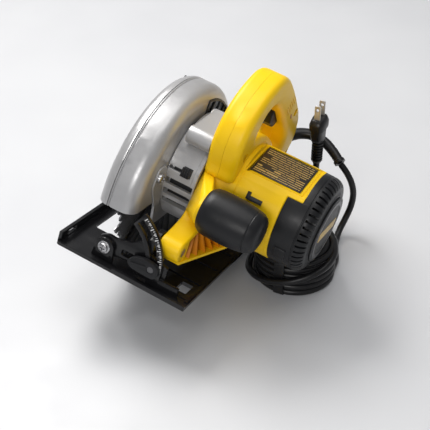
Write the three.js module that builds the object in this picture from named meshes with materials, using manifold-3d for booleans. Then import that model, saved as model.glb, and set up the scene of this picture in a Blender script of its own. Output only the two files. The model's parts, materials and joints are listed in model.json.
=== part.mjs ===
// Circular saw, 184 mm blade, set down leaning on its blade guard, its shoe and its coiled cord.
// Millimetres, +Z up. Everything but the cord is built upright in the saw's own frame:
// +X from the blade towards the motor, +Y to the rear, Z = 0 the sole of the shoe, and
// X = 0, Y = 0 at the middle of the blade. The last lines lean that frame over onto the table.
import * as THREE from 'three';
import { mergeVertices } from 'three/addons/utils/BufferGeometryUtils.js';
import Module from 'manifold-3d';

const wasm = await Module();
wasm.setup();

// ---------------------------------------------------------------- driving dimensions
const GAP = 0.3;                 // between two pieces that touch
const LEAN = 11.8;               // degrees, motor side down
const PITCH = 11.7;              // degrees, rear down
const BLADE_R = 92;
const ARBOR_Z = 46;              // blade axis over the sole: the cutting depth that is set
const MOTOR_RISE = 25;           // motor axis over the blade axis: the gears' centre distance
const MOTOR_Z = ARBOR_Z + MOTOR_RISE;
const GUARD_R = 100.5;           // upper guard, outside
const GUARD_IN_R = 98;
const GUARD_X = 18;              // motor-side face of the upper guard
const COVER_X = -20;             // outer face of the guard's cover
const SEAM_X = -9;               // where cover and guard meet
const CASE_R = 53;               // gear case
const CASE_END_X = 50;
const BARREL_R = 48;             // motor housing
const BORE_R = 38.5;
const BARREL_END_X = 130;
const CAP_END_X = 165.5;
const FLAT_R = 41.8;             // rating-plate flat, from the motor axis
const FLAT_TILT = 12.4;          // degrees, the flat falls towards the front
const FLAT_END_X = 145;
const HANDLE_X = 65;             // parting plane of the handle
const HANDLE_HALF = 15.5;
const KNOB_Y = -73;
const KNOB_Z = ARBOR_Z + 30;
const KNOB_R = 22.5;
const KNOB_BOLT_X = 65;
const DEPTH_Y = -94;             // depth pivot
const DEPTH_Z = 37;
const BEVEL_X = 5;               // bevel pivot
const BEVEL_Z = 16;
const SHOE = { x0: -39, x1: 97, y0: -121, y1: 160, t: 3 };
const SLOT = { x0: -27, x1: 33, y0: -72, y1: 128 };       // blade opening in the shoe
const CORD_R = 3.4;
const COIL = { x: 137.5, y: 38, r: 34, h: 41.5 };            // on the table, middle of the turns
const TABLE_DROP = 51.87;        // the table below the sole under the blade axis

const rad = THREE.MathUtils.degToRad;

// ---------------------------------------------------------------- making solids
function toManifold(geometry) {
  let g = geometry.index ? geometry.toNonIndexed() : geometry.clone();
  g.deleteAttribute('normal');
  g.deleteAttribute('uv');
  g = mergeVertices(g, 1e-4);
  const p = g.attributes.position.array;
  const kept = [];
  let volume = 0;
  for (let i = 0; i < g.index.count; i += 3) {
    const [a, b, c] = [0, 1, 2].map((k) => g.index.getX(i + k));
    if (a === b || b === c || a === c) continue;
    kept.push([a, b, c]);
    const [A, B, C] = [a, b, c].map((v) => new THREE.Vector3().fromArray(p, v * 3));
    volume += A.dot(B.cross(C));
  }
  const tris = kept.flatMap(([a, b, c]) => (volume > 0 ? [a, b, c] : [a, c, b]));
  return new wasm.Manifold(new wasm.Mesh({
    numProp: 3,
    vertProperties: new Float32Array(p),
    triVerts: new Uint32Array(tris),
  }));
}

function toGeometry(solid) {
  const m = solid.getMesh();
  const g = new THREE.BufferGeometry();
  g.setAttribute('position', new THREE.BufferAttribute(new Float32Array(m.vertProperties), 3));
  g.setIndex(new THREE.BufferAttribute(new Uint32Array(m.triVerts), 1));
  g.computeVertexNormals();
  return g;
}

const join = (...solids) => solids.reduce((a, b) => a.add(b));
const cut = (solid, ...tools) => tools.reduce((a, b) => a.subtract(b), solid);

// axes of a drawing (u, v) extruded along w, put onto the saw's axes
const ONTO_YZ = new THREE.Matrix4().makeBasis(
  new THREE.Vector3(0, 1, 0), new THREE.Vector3(0, 0, 1), new THREE.Vector3(1, 0, 0));
const ONTO_XZ = new THREE.Matrix4().makeBasis(
  new THREE.Vector3(1, 0, 0), new THREE.Vector3(0, 0, 1), new THREE.Vector3(0, -1, 0));
const LATHE_TO_X = new THREE.Matrix4().makeBasis(
  new THREE.Vector3(0, 0, 1), new THREE.Vector3(1, 0, 0), new THREE.Vector3(0, 1, 0));

const shapeOf = (points) => new THREE.Shape(points.map(([u, v]) => new THREE.Vector2(u, v)));

function prismX(points, x0, x1) {
  const g = new THREE.ExtrudeGeometry(shapeOf(points), { depth: x1 - x0, bevelEnabled: false });
  return toManifold(g.applyMatrix4(ONTO_YZ).translate(x0, 0, 0));
}

function prismY(points, y0, y1) {
  const g = new THREE.ExtrudeGeometry(shapeOf(points), { depth: y1 - y0, bevelEnabled: false });
  return toManifold(g.applyMatrix4(ONTO_XZ).translate(0, y1, 0));
}

function prismZ(points, z0, z1) {
  const g = new THREE.ExtrudeGeometry(shapeOf(points), { depth: z1 - z0, bevelEnabled: false });
  return toManifold(g.translate(0, 0, z0));
}

function box(x0, x1, y0, y1, z0, z1) {
  const g = new THREE.BoxGeometry(x1 - x0, y1 - y0, z1 - z0);
  return toManifold(g.translate((x0 + x1) / 2, (y0 + y1) / 2, (z0 + z1) / 2));
}

// a profile of [radius, x] turned about an axis along X through (y, z)
function turned(profile, y, z, segments = 32) {
  const points = profile.map(([r, x]) => new THREE.Vector2(r, x));
  points.push(points[0].clone());
  const g = new THREE.LatheGeometry(points, segments);
  return toManifold(g.applyMatrix4(LATHE_TO_X).translate(0, y, z));
}

const rod = (r, x0, x1, y, z, segments = 16) =>
  turned([[0, x0], [r, x0], [r, x1], [0, x1]], y, z, segments);

const ring = (r0, r1, x0, x1, y, z, segments = 32) =>
  turned([[r0, x0], [r1, x0], [r1, x1], [r0, x1]], y, z, segments);

// a rod along Y through (x, z)
function rodY(r, y0, y1, x, z, segments = 12) {
  const g = new THREE.CylinderGeometry(r, r, y1 - y0, segments);
  return toManifold(g.translate(x, (y0 + y1) / 2, z));
}

const polar = (r, degrees, y = 0, z = 0) =>
  [y + r * Math.cos(rad(degrees)), z + r * Math.sin(rad(degrees))];

function arcPoints(r, from, to, steps, y = 0, z = 0) {
  const span = to - from;
  return Array.from({ length: steps + 1 }, (_, i) => polar(r, from + (span * i) / steps, y, z));
}

// part of a flat ring: a drawing on the YZ or XZ plane
const sector = (r0, r1, from, to, steps, y = 0, z = 0) =>
  [...arcPoints(r1, from, to, steps, y, z), ...arcPoints(r0, to, from, steps, y, z)];

// a box standing on the motor housing at an angle round the motor axis
function radialBox(x0, x1, r0, r1, halfWidth, degrees) {
  const g = new THREE.BoxGeometry(x1 - x0, r1 - r0, 2 * halfWidth);
  g.translate((x0 + x1) / 2, (r0 + r1) / 2, 0).rotateX(rad(degrees)).translate(0, 0, MOTOR_Z);
  return toManifold(g);
}

// ---------------------------------------------------------------- materials
const finish = (color, roughness, metalness = 0) =>
  new THREE.MeshStandardMaterial({ color, roughness, metalness });
const YELLOW = finish(0xf2c70f, 0.45);
const CAST = finish(0xbcbcba, 0.45, 0.8);
const BLACK_PLASTIC = finish(0x2c2c30, 0.55);
const BLACK_STEEL = finish(0x151517, 0.35, 0.4);
const STEEL = finish(0xb5b5b8, 0.3, 1);
const BLADE_STEEL = finish(0xa8a8aa, 0.25, 1);
const COPPER = finish(0xb06a3a, 0.35, 1);
const IRON = finish(0x5a5a60, 0.5, 0.9);
const CARBON = finish(0x252525, 0.7);
const RUBBER = finish(0x1b1b1d, 0.6);
const PLATE = finish(0x3a3428, 0.4, 0.3);

const saw = new THREE.Group();
const cord = new THREE.Group();

function place(name, solid, material, group = saw) {
  const mesh = new THREE.Mesh(toGeometry(solid), material);
  mesh.name = name;
  group.add(mesh);
}

// ---------------------------------------------------------------- upper guard
// Angles round the blade axis run from 0 to the rear, through 90 up.
const LEVER = { r0: 61, r1: 69.5, from: -20, to: 112 };    // path of the retracting lever
const CHUTE = { r0: 74, r1: 90, from: 40, to: 86 };

const belowGuard = prismX([
  [-130, ARBOR_Z + 3], [-56, ARBOR_Z + 3], [-48, ARBOR_Z - 28], [40, ARBOR_Z - 28],
  [62, ARBOR_Z], [130, ARBOR_Z], [130, -80], [-130, -80]], -30, 30);

function upperGuard() {
  const shell = turned([
    [24, 18], [88, 18], [95, 15], [99, 10], [GUARD_R, 3], [GUARD_R, SEAM_X + GAP],
    [GUARD_IN_R, SEAM_X + GAP], [GUARD_IN_R, 3], [96.5, 8.5], [92.5, 12.5], [86, 15], [24, 15]],
    0, ARBOR_Z, 48);
  const leverSlot = prismX(sector(LEVER.r0, LEVER.r1, LEVER.from, LEVER.to, 14, 0, ARBOR_Z), 12, 20);
  const window = prismX(sector(CHUTE.r0, CHUTE.r1, CHUTE.from, CHUTE.to, 5, 0, ARBOR_Z), 12, 20);
  return cut(shell, belowGuard, leverSlot, window);
}

function guardCover() {
  const shell = turned([
    [60, -17.2], [60, COVER_X], [92, COVER_X], [97.5, -16.5], [GUARD_R, -12], [GUARD_R, SEAM_X],
    [GUARD_IN_R, SEAM_X], [GUARD_IN_R, -11], [95.5, -14.5], [90.5, -17.2]], 0, ARBOR_Z, 48);
  return cut(shell, belowGuard);
}

function dustChute() {
  const walls = prismX(
    sector(CHUTE.r0 + GAP, CHUTE.r1 - GAP, CHUTE.from + 0.4, CHUTE.to - 0.4, 5, 0, ARBOR_Z), 15.5, 18);
  const mouth = prismX(
    sector(CHUTE.r0 + 2.5, CHUTE.r1 - 2.5, CHUTE.from + 3, CHUTE.to - 3, 5, 0, ARBOR_Z), 15, 19);
  return cut(walls, mouth);
}

place('upper_guard', upperGuard(), CAST);
place('guard_cover', guardCover(), CAST);
place('dust_chute', dustChute(), BLACK_PLASTIC);

// ---------------------------------------------------------------- gear case and bearings
const BOSSES = [[-38, ARBOR_Z + 73], [5, ARBOR_Z + 76]];   // screw bosses, (y, z)
const BOSS_R = 9;
const HUB_R = 14.5;
const CASE_BORE = 49;
const VENTS = [                  // angle round the motor axis, start and end along it, half width
  [163, 20.5, 36, 1.7], [177.5, 20.5, 46, 3], [190, 20.5, 46, 3], [202, 20.5, 46, 3]];
const LOCK_ANGLE = 162;          // spindle lock, round the motor axis
const LOCK_HALF = 4.5;
const LOCK_X0 = 34;
const LOCK_X1 = 42.4;
const RECESS = { r0: 61.5, r1: 110, from: -26, to: 111, depth: 2.6 };     // room for the swinging guard lever

function gearCase() {
  const body = rod(CASE_R, GUARD_X + GAP, CASE_END_X, 0, MOTOR_Z, 40);
  const hub = rod(HUB_R, 6, GUARD_X + 2, 0, ARBOR_Z, 16);
  const bosses = BOSSES.map(([y, z]) => rod(BOSS_R, 25, CASE_END_X, y, z, 12));
  const bore = rod(CASE_BORE, 23, CASE_END_X + 1, 0, MOTOR_Z, 40);
  const bearingSeat = rod(12.3, 5, 17, 0, ARBOR_Z, 16);
  const shaftHole = rod(9, 4, 24, 0, ARBOR_Z, 16);
  const vents = VENTS.map(([angle, x0, x1, half]) => radialBox(x0, x1, 44, 58, half, angle));
  const lockHole = radialBox(LOCK_X0 - GAP, LOCK_X1 + GAP, 44, 58, LOCK_HALF + GAP, LOCK_ANGLE);
  const screwHoles = BOSSES.map(([y, z]) => rod(3, 40, CASE_END_X + 1, y, z, 8));
  const recess = prismX(
    sector(RECESS.r0, RECESS.r1, RECESS.from, RECESS.to, 14, 0, ARBOR_Z), GUARD_X, GUARD_X + RECESS.depth);
  return cut(join(body, hub, ...bosses), recess, bore, bearingSeat, shaftHole, ...vents, lockHole, ...screwHoles);
}

function bearingPlate() {
  const plate = rod(CASE_BORE - GAP, 43, 47, 0, MOTOR_Z, 32);
  const motorSeat = rod(10.8, 42, 48, 0, MOTOR_Z, 16);
  const arborSeat = rod(10.8, 42, 48, 0, ARBOR_Z, 16);
  return cut(plate, motorSeat, arborSeat);
}

place('gear_case', gearCase(), CAST);
place('bearing_plate', bearingPlate(), CAST);
place('arbor_front_bearing', ring(8.1, 12, 8, 16.5, 0, ARBOR_Z, 16), STEEL);
place('arbor_rear_bearing', ring(6.3, 10.5, 43.3, 46.7, 0, ARBOR_Z, 16), STEEL);
place('motor_front_bearing', ring(4.3, 10.5, 43.3, 46.7, 0, MOTOR_Z, 16), STEEL);
BOSSES.forEach(([y, z], i) => {
  place(`housing_screw_${i + 1}`, rod(2.6, 41, CASE_END_X - 0.5, y, z, 8), STEEL);
});
place('spindle_lock', radialBox(LOCK_X0, LOCK_X1, 46, 58, LOCK_HALF, LOCK_ANGLE), BLACK_PLASTIC);

// ---------------------------------------------------------------- blade and its drive
const BLADE_HALF = 0.9;
const TEETH = 24;

function sawBlade() {
  const rim = [];
  for (let i = 0; i < TEETH; i += 1) {
    const a = (360 / TEETH) * i;
    rim.push(polar(BLADE_R - 9, a), polar(BLADE_R, a + 1.5), polar(BLADE_R - 1.5, a + 4.5));
    rim.push(polar(BLADE_R - 7, a + 10));
  }
  const disc = prismX(rim, -BLADE_HALF, BLADE_HALF).translate([0, 0, ARBOR_Z]);
  return cut(disc, rod(8, -2, 2, 0, ARBOR_Z, 16));
}

const hexagon = (r) => Array.from({ length: 6 }, (_, i) => polar(r, 60 * i, 0, ARBOR_Z));

place('blade', sawBlade(), BLADE_STEEL);
place('inner_flange', ring(4.4, 20, 1.2, 3.4, 0, ARBOR_Z, 16), STEEL);
place('outer_flange', ring(4.4, 20, -3.4, -1.2, 0, ARBOR_Z, 16), STEEL);
place('blade_bolt', join(
  prismX(hexagon(10), -10, -3.7), rod(4.1, -4, 12, 0, ARBOR_Z, 12)), STEEL);
place('arbor_shaft', cut(
  turned([[0, 3.7], [7.8, 3.7], [7.8, 40], [6, 40], [6, 46.5], [0, 46.5]], 0, ARBOR_Z, 16),
  rod(4.4, 3, 14, 0, ARBOR_Z, 12)), STEEL);
place('drive_gear', ring(8.1, 20.6, 28, 35, 0, ARBOR_Z, 30), STEEL);

// ---------------------------------------------------------------- lower guard
const LOWER = { r0: 94.5, r1: 96.5, half: 5.5, wall: 1.8, front: 220, rear: 368 };
const LEVER_ANGLE = -12;

function lowerGuard() {
  const { r0, r1, half, wall, front, rear } = LOWER;
  const steps = 20;
  const rim = prismX(sector(r0, r1, front, rear, steps, 0, ARBOR_Z), -half, half);
  const inner = prismX(sector(15, r1, front, rear, steps, 0, ARBOR_Z), half - wall, half);
  const outer = prismX(sector(64, r1, front, rear, steps, 0, ARBOR_Z), -half, -half + wall);
  const frontBar = prismX(sector(26, r1, front, front + 1.6, 1, 0, ARBOR_Z), 2, half);
  const outerBar = prismX(sector(64, r1, front, front + 1.6, 1, 0, ARBOR_Z), -half, -2);
  const flanges = box(-half + wall, half - wall, -24, 24, ARBOR_Z - 24, ARBOR_Z + 24);
  const hub = ring(15, 22, half - wall, 14, 0, ARBOR_Z, 24);
  return join(cut(join(rim, inner, outer, frontBar, outerBar), flanges), hub);
}

function guardLever() {
  const at = (r0, r1, half, x0, x1) => {
    const g = new THREE.BoxGeometry(x1 - x0, r1 - r0, 2 * half);
    g.translate((x0 + x1) / 2, (r0 + r1) / 2, 0).rotateX(rad(LEVER_ANGLE)).translate(0, 0, ARBOR_Z);
    return toManifold(g);
  };
  return join(
    at(40, 68, 5, 5.8, 7.8), at(62.5, 68, 4, 6, 20.2), at(62.5, 94, 4, 18.5, 20.2), at(87, 94, 8, 18.5, 36));
}

place('lower_guard', lowerGuard(), BLACK_STEEL);
place('guard_lever', guardLever(), BLACK_PLASTIC);
place('guard_spring', ring(22.6, 26, 8.5, 13, 0, ARBOR_Z, 24), STEEL);

// ---------------------------------------------------------------- motor housing
const NOSE_X0 = CASE_END_X + GAP;
const NOSE_X1 = 72;
const SHELF_Z0 = 25;             // shelf that joins the nose to the underside of the motor housing
const SHELF_Z1 = 27.8;
const NOSE_RIBS = [[-60, -80], [-56, -62], [-52, -44]];    // y at the top and at the shelf
const PLATE_ANGLE = 90 + FLAT_TILT;

function noseOutline() {
  const z = (up) => ARBOR_Z + up;
  return [
    [-30, z(58)], [-44, z(44)], [-53, z(19)], [-67, z(7)], [-84, z(3)],
    ...arcPoints(10.5, 80, 250, 7, DEPTH_Y, DEPTH_Z),
    [-84, SHELF_Z0], [-24, SHELF_Z0], [-10, z(-15)], [0, z(30)]];
}

// the arm swells from its blade side out to the knob; grown by a clearance for what fits round it
function knobSupport(clearance) {
  const seat = rod(16 + clearance, 69, NOSE_X1 + clearance, KNOB_Y, KNOB_Z, 20);
  const c = clearance;
  const root = prismX([[-30, 94 + c], [-41 - c, 94 + c], [-44 - c, 90], [-53 - c, 65], [-60, 59], [-30, 59]],
    NOSE_X0, NOSE_X0 + 6);
  return wasm.Manifold.hull([seat, root]);
}

function motorHousing() {
  const barrel = rod(BARREL_R, NOSE_X0, BARREL_END_X, 0, MOTOR_Z, 40);
  const platform = rod(BARREL_R, BARREL_END_X - 1, FLAT_END_X, 0, MOTOR_Z, 40)
    .intersect(radialBox(BARREL_END_X - 1, FLAT_END_X, 30, 60, 27, PLATE_ANGLE));
  const nose = prismX(noseOutline(), NOSE_X0, NOSE_X1);
  const knobBoss = knobSupport(0);
  const shelf = prismZ([[56, -97], [NOSE_X1, -97], [92, -34], [108, -14], [56, -14]], SHELF_Z0, SHELF_Z1);
  const noseCavity = cut(
    prismX([[-86, SHELF_Z1], [-85, 45.5], [-68, 49.5], [-57, 59], [-54, 61], [-45, 61], [-20, SHELF_Z1]],
      56, NOSE_X1 + 1),
    rod(BARREL_R, NOSE_X0, NOSE_X1 + 2, 0, MOTOR_Z, 40),
    ...NOSE_RIBS.map(([top, foot]) => prismX(
      [[top - 0.8, 62], [foot - 0.8, SHELF_Z0], [foot + 0.8, SHELF_Z0], [top + 0.8, 62]], 50, 70)));
  const bore = rod(BORE_R, 53.5, FLAT_END_X + 1, 0, MOTOR_Z, 40);
  const frontHole = rod(30, NOSE_X0 - 1, 55, 0, MOTOR_Z, 20);
  const flat = radialBox(HANDLE_X + HANDLE_HALF + 3, FLAT_END_X + 1, FLAT_R, 60, 40, PLATE_ANGLE);
  const pinHole = rod(4.4, 40, 80, DEPTH_Y, DEPTH_Z, 12);
  const bolt = rod(4.3, KNOB_BOLT_X - 1, 80, KNOB_Y, KNOB_Z, 12);
  return cut(
    join(barrel, platform, nose, shelf, knobBoss), noseCavity, bore, frontHole, flat, pinHole, bolt);
}

function endCap() {
  const shell = turned([
    [44.5, BARREL_END_X + GAP], [47.5, BARREL_END_X + GAP], [47.5, 154], [45.5, 160],
    [36, CAP_END_X], [0, CAP_END_X], [0, 162], [9.8, 162], [9.8, 149], [13, 149], [13, 162],
    [35, 162], [40, 159.5], [44.5, 154]], 0, MOTOR_Z, 40);
  const notch = radialBox(BARREL_END_X - 1, FLAT_END_X + GAP, 30, 60, 27 + GAP, PLATE_ANGLE);
  const vents = Array.from({ length: 12 }, (_, i) => radialBox(153, 160, 38, 52, 1.8, 30 * i));
  return cut(shell, notch, ...vents);
}

place('motor_housing', motorHousing(), YELLOW);
place('rating_plate', radialBox(87, 138, FLAT_R + GAP, FLAT_R + 1, 20, PLATE_ANGLE), PLATE);
place('end_cap', endCap(), BLACK_PLASTIC);
place('end_disc', rod(33, CAP_END_X + GAP, CAP_END_X + 1.8, 0, MOTOR_Z, 32), PLATE);

// ---------------------------------------------------------------- motor
place('motor_shaft', rod(4, 36, 160, 0, MOTOR_Z, 12), STEEL);
place('motor_pinion', rod(4, 27, 35.7, 0, MOTOR_Z, 12), STEEL);
place('cooling_fan', ring(4.3, 36, 55, 61, 0, MOTOR_Z, 20), BLACK_PLASTIC);
place('armature_core', ring(4.3, 24.8, 66, 102, 0, MOTOR_Z, 20), IRON);
place('stator', ring(26, 36, 67, 101, 0, MOTOR_Z, 20), IRON);
place('commutator', ring(4.3, 13, 107, 120, 0, MOTOR_Z, 16), COPPER);
place('motor_rear_bearing', ring(4.3, 9.5, 150, 157, 0, MOTOR_Z, 16), STEEL);
[['front', 175], ['rear', 355]].forEach(([side, angle]) => {
  place(`carbon_brush_${side}`, radialBox(110, 117, 13.4, 24, 4, angle), CARBON);
  place(`brush_holder_${side}`, cut(
    radialBox(107, 120, 18, 37, 7, angle), radialBox(109.7, 117.3, 17, 34, 4.3, angle)), COPPER);
});

// ---------------------------------------------------------------- front knob
function frontKnob() {
  const x0 = NOSE_X1 + GAP;
  const body = turned([
    [0, x0], [19, x0], [21.5, x0 + 4], [KNOB_R, x0 + 14], [KNOB_R, x0 + 26], [21.5, x0 + 40],
    [19.5, x0 + 50], [15.5, x0 + 55], [0, x0 + 57]], KNOB_Y, KNOB_Z, 28);
  return cut(body, rod(4.3, x0 - 1, x0 + 32, KNOB_Y, KNOB_Z, 12));
}

place('front_knob', frontKnob(), BLACK_PLASTIC);
place('knob_bolt', rod(4, KNOB_BOLT_X, NOSE_X1 + 30, KNOB_Y, KNOB_Z, 12), STEEL);

// ---------------------------------------------------------------- strain relief
const TABLE = new THREE.Matrix4()    // from the saw's frame to the table's
  .makeRotationFromEuler(new THREE.Euler(rad(-PITCH), rad(LEAN), 0))
  .setPosition(0, 0, TABLE_DROP);
const RELIEF_R = 6.2;
const RELIEF_PATH = [
  [86, 122, 96.5], [92, 129.5, 97], [100, 136, 97.8], [112, 139.5, 97], [126, 138, 93],
  [138, 133.5, 86.5], [147.8, 127.5, 80]];

function tube(points, radius, steps, sides = 8) {
  const path = new THREE.CatmullRomCurve3(points.map((p) => new THREE.Vector3(...p)));
  const section = new THREE.Shape(
    Array.from({ length: sides }, (_, i) => new THREE.Vector2(...polar(radius, (360 / sides) * i))));
  return toManifold(new THREE.ExtrudeGeometry(section, { steps, extrudePath: path, bevelEnabled: false }));
}

place('strain_relief', tube(RELIEF_PATH, RELIEF_R, 12), RUBBER, cord);

// ---------------------------------------------------------------- handle, switch and trigger
const HANDLE_OUTLINE = [
  [-40, 44], [-47, 60], [-50, 78], [-47, 94], [-38, 109], [-22, 123], [-3, 133], [15, 138], [32, 134],
  [52, 121], [80, 98], [103, 77], [114, 60], [117, 44], [110, 26], [98, 12], [80, 0], [60, -6],
  [40, 0], [20, 30]];
const HAND_HOLE = [
  [-14, 82], [-14, 95], [-5, 106], [12, 110], [30, 102], [54, 82], [74, 62], [80, 47], [73, 38],
  [60, 46], [44, 62], [24, 74], [4, 80]];
const EDGE = 6.5;                // rounding of the handle's long edges

function handleBlank() {
  const raise = ([y, up]) => new THREE.Vector2(y, ARBOR_Z + up);
  const shape = new THREE.Shape(HANDLE_OUTLINE.map(raise).reverse());
  shape.holes.push(new THREE.Path(HAND_HOLE.map(raise)));
  const g = new THREE.ExtrudeGeometry(shape, {
    depth: 2 * (HANDLE_HALF - EDGE), bevelThickness: EDGE, bevelSize: EDGE, bevelOffset: -EDGE,
    bevelSegments: 2, curveSegments: 4 });
  g.translate(0, 0, EDGE - HANDLE_HALF).applyMatrix4(ONTO_YZ).translate(HANDLE_X, 0, 0);
  const barrel = rod(BARREL_R + GAP, NOSE_X0, 150, 0, MOTOR_Z, 40);
  const gearSide = rod(CASE_R + GAP, 0, NOSE_X0 + 0.5, 0, MOTOR_Z, 40);
  const bossSide = BOSSES.map(([y, z]) => rod(BOSS_R + GAP, 0, NOSE_X0 + 0.5, y, z, 12));
  const nose = prismX(noseOutline().map(([y, z]) => [y - GAP, z + GAP]), NOSE_X0 - 1, NOSE_X1 + GAP);
  const plate = radialBox(80, 150, FLAT_R, 60, 26, PLATE_ANGLE);
  const cordSocket = tube(RELIEF_PATH, RELIEF_R + GAP, 12).transform(TABLE.clone().invert().elements);
  return cut(toManifold(g), cordSocket, barrel, gearSide, ...bossSide, knobSupport(GAP), nose, plate);
}

const SWITCH = [[66, 88], [82, 72], [97, 77], [78, 98]];
// the trigger slides along PRESS; drawn as [along the grip, along PRESS] from a point of the grip's inside
const PRESS = [0.68, 0.733];
const TRIGGER_AT = [54, 82];
const TRIGGER = [[-14, 6], [14, 6], [14, -3], [9, -10], [-6, -12], [-13, -5]];
const TRIGGER_SLOT = [[-15, -6], [-15, 10.6], [15, 10.6], [15, -6]];
const onGrip = (points) => points.map(([u, v]) => [
  TRIGGER_AT[0] + u * PRESS[1] + v * PRESS[0], TRIGGER_AT[1] - u * PRESS[0] + v * PRESS[1]]);
const raised = (points) => points.map(([y, up]) => [y, ARBOR_Z + up]);
const grown = (points, by) => {
  const cy = points.reduce((s, p) => s + p[0], 0) / points.length;
  const cz = points.reduce((s, p) => s + p[1], 0) / points.length;
  return points.map(([y, z]) => {
    const d = Math.hypot(y - cy, z - cz);
    return [cy + ((y - cy) * (d + by)) / d, cz + ((z - cz) * (d + by)) / d];
  });
};

const blank = handleBlank();
const switchPocket = prismX(raised(grown(SWITCH, 1.2)), HANDLE_X - 9.4, HANDLE_X + 9.4);
const triggerSlot = prismX(raised(onGrip(TRIGGER_SLOT)), HANDLE_X - 6.4, HANDLE_X + 6.4);
const gripHalf = (x0, x1) => cut(blank, switchPocket, triggerSlot).intersect(box(x0, x1, -80, 140, 0, 220));
place('handle_left', gripHalf(HANDLE_X - 30, HANDLE_X - GAP / 2), YELLOW);
place('handle_right', gripHalf(HANDLE_X + GAP / 2, HANDLE_X + 30), YELLOW);
place('switch_body', prismX(raised(SWITCH), HANDLE_X - 9, HANDLE_X + 9), BLACK_PLASTIC);
place('trigger', prismX(raised(onGrip(TRIGGER)), HANDLE_X - 6, HANDLE_X + 6), BLACK_PLASTIC);

// ---------------------------------------------------------------- depth bracket
const CLAMP = [BEVEL_X + 50, BEVEL_Z + 4];      // bevel clamp, (x, z)
const BRACKET_Y = { front: -109.3, rear: -105.8 };

function frontBracket() {
  const earShape = (z0) => [
    [BRACKET_Y.front, z0], [BRACKET_Y.rear, z0], [DEPTH_Y + 8, DEPTH_Z - 9],
    ...arcPoints(10.5, 0, 120, 5, DEPTH_Y, DEPTH_Z), [BRACKET_Y.front, DEPTH_Z + 6]];
  const leftEar = prismX(earShape(20), 44, 49.5);
  const plate = prismY([
    [-4, 9], [13, 8], [20, 11], [68, 11], [68, 24], [49.5, 28], [49.5, 43], [44, 43], [30, 32],
    [13, 27], [5, 28], [-4, 23]], BRACKET_Y.front, BRACKET_Y.rear);
  const pinHole = rod(4.4, 40, 80, DEPTH_Y, DEPTH_Z, 12);
  return cut(join(leftEar, plate), pinHole,
    rodY(4.4, -115, -100, BEVEL_X, BEVEL_Z), rodY(3.4, -115, -100, ...CLAMP));
}

const LEVER_POINT = [56, 78];    // depth clamp, (y, z)
const STRAP_R = Math.hypot(LEVER_POINT[0] - DEPTH_Y, LEVER_POINT[1] - DEPTH_Z);
const STRAP_X = { left: -24, right: -21 };
const REAR_EAR_Y = { front: 131, rear: 134 };

function depthStrap() {
  const arc = prismX(
    sector(STRAP_R - 8, STRAP_R + 8, -3, 37, 12, DEPTH_Y, DEPTH_Z), STRAP_X.left, STRAP_X.right);
  const slot = prismX(
    sector(STRAP_R - 3.4, STRAP_R + 3.4, 8, 34.2, 12, DEPTH_Y, DEPTH_Z), STRAP_X.left - 1, STRAP_X.right + 1);
  const foot = box(STRAP_X.left, STRAP_X.right, 58, REAR_EAR_Y.rear, 30, 42);
  const rearEar = cut(
    prismY([[STRAP_X.left, 30], [-4, 10], [BEVEL_X + 9, 10], [BEVEL_X + 9, 22], [-12, 42], [STRAP_X.left, 42]],
      REAR_EAR_Y.front, REAR_EAR_Y.rear),
    rodY(4.4, 125, 140, BEVEL_X, BEVEL_Z));
  return join(cut(arc, slot), foot, rearEar);
}

place('front_bracket', frontBracket(), BLACK_STEEL);
place('depth_pin', rod(4.1, 41, NOSE_X1, DEPTH_Y, DEPTH_Z, 12), STEEL);
place('depth_strap', depthStrap(), BLACK_STEEL);
place('depth_clamp_bolt', join(
  rod(3, -27.5, COVER_X - GAP, ...LEVER_POINT, 12), rod(7, -30, -24.3, ...LEVER_POINT, 12)), STEEL);
place('depth_lever', cut(
  prismX([[-8, -6], [6, -8], [12, 8], [10, 42], [2, 44], [-6, 8]].map(
    ([y, z]) => [LEVER_POINT[0] + y, LEVER_POINT[1] + z]), -35, -30.3),
  rod(3.3, -36, -29, ...LEVER_POINT, 12)), BLACK_PLASTIC);

// ---------------------------------------------------------------- shoe and bevel scale
const QUADRANT = { r0: 42.5, r1: 59, from: -12, to: 60, y0: -112.9, y1: -109.6 };

function shoePlate() {
  const { x0, x1, y0, y1, t } = SHOE;
  const plate = prismZ([[x0, y0], [x1, y0], [x1, y1], [x0, y1]], 0, t);
  const fence = box(x0, x0 + t, y0 + 3, y1, 0, 12);
  const opening = box(SLOT.x0, SLOT.x1, SLOT.y0, SLOT.y1, -1, t + 1);
  const kerf = box(-6, 19, -88, SLOT.y0 + 1, -1, t + 1);
  const slot = box(77, 88, -101, -85, -1, t + 1);
  const fenceSlot = box(x0 - 1, x0 + t + 1, -106, -92, 4, 9);
  const frontLip = box(BEVEL_X + 16, x1, y0, y0 + 2.5, 0, t + 1.6);
  return cut(join(plate, fence, frontLip), opening, kerf, slot, fenceSlot);
}

function pivotEar(y0, y1) {
  const ear = prismY([
    [BEVEL_X - 11, SHOE.t + GAP], [BEVEL_X + 11, SHOE.t + GAP],
    ...arcPoints(9.5, 0, 180, 8, BEVEL_X, BEVEL_Z)], y0, y1);
  return cut(ear, rodY(4.4, y0 - 1, y1 + 1, BEVEL_X, BEVEL_Z));
}

function bevelQuadrant() {
  const { r0, r1, from, to, y0, y1 } = QUADRANT;
  const arc = prismY(sector(r0, r1, from, to, 12, BEVEL_X, BEVEL_Z), y0, y1);
  const slot = prismY(sector(46.5, 53.9, from + 10.5, to - 2.5, 12, BEVEL_X, BEVEL_Z), y0 - 1, y1 + 1);
  const foot = box(52, 84, y0, y1, SHOE.t + GAP, 12);
  return cut(join(arc, foot), slot, box(0, 100, y0 - 1, y1 + 1, -30, SHOE.t + GAP));
}

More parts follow.
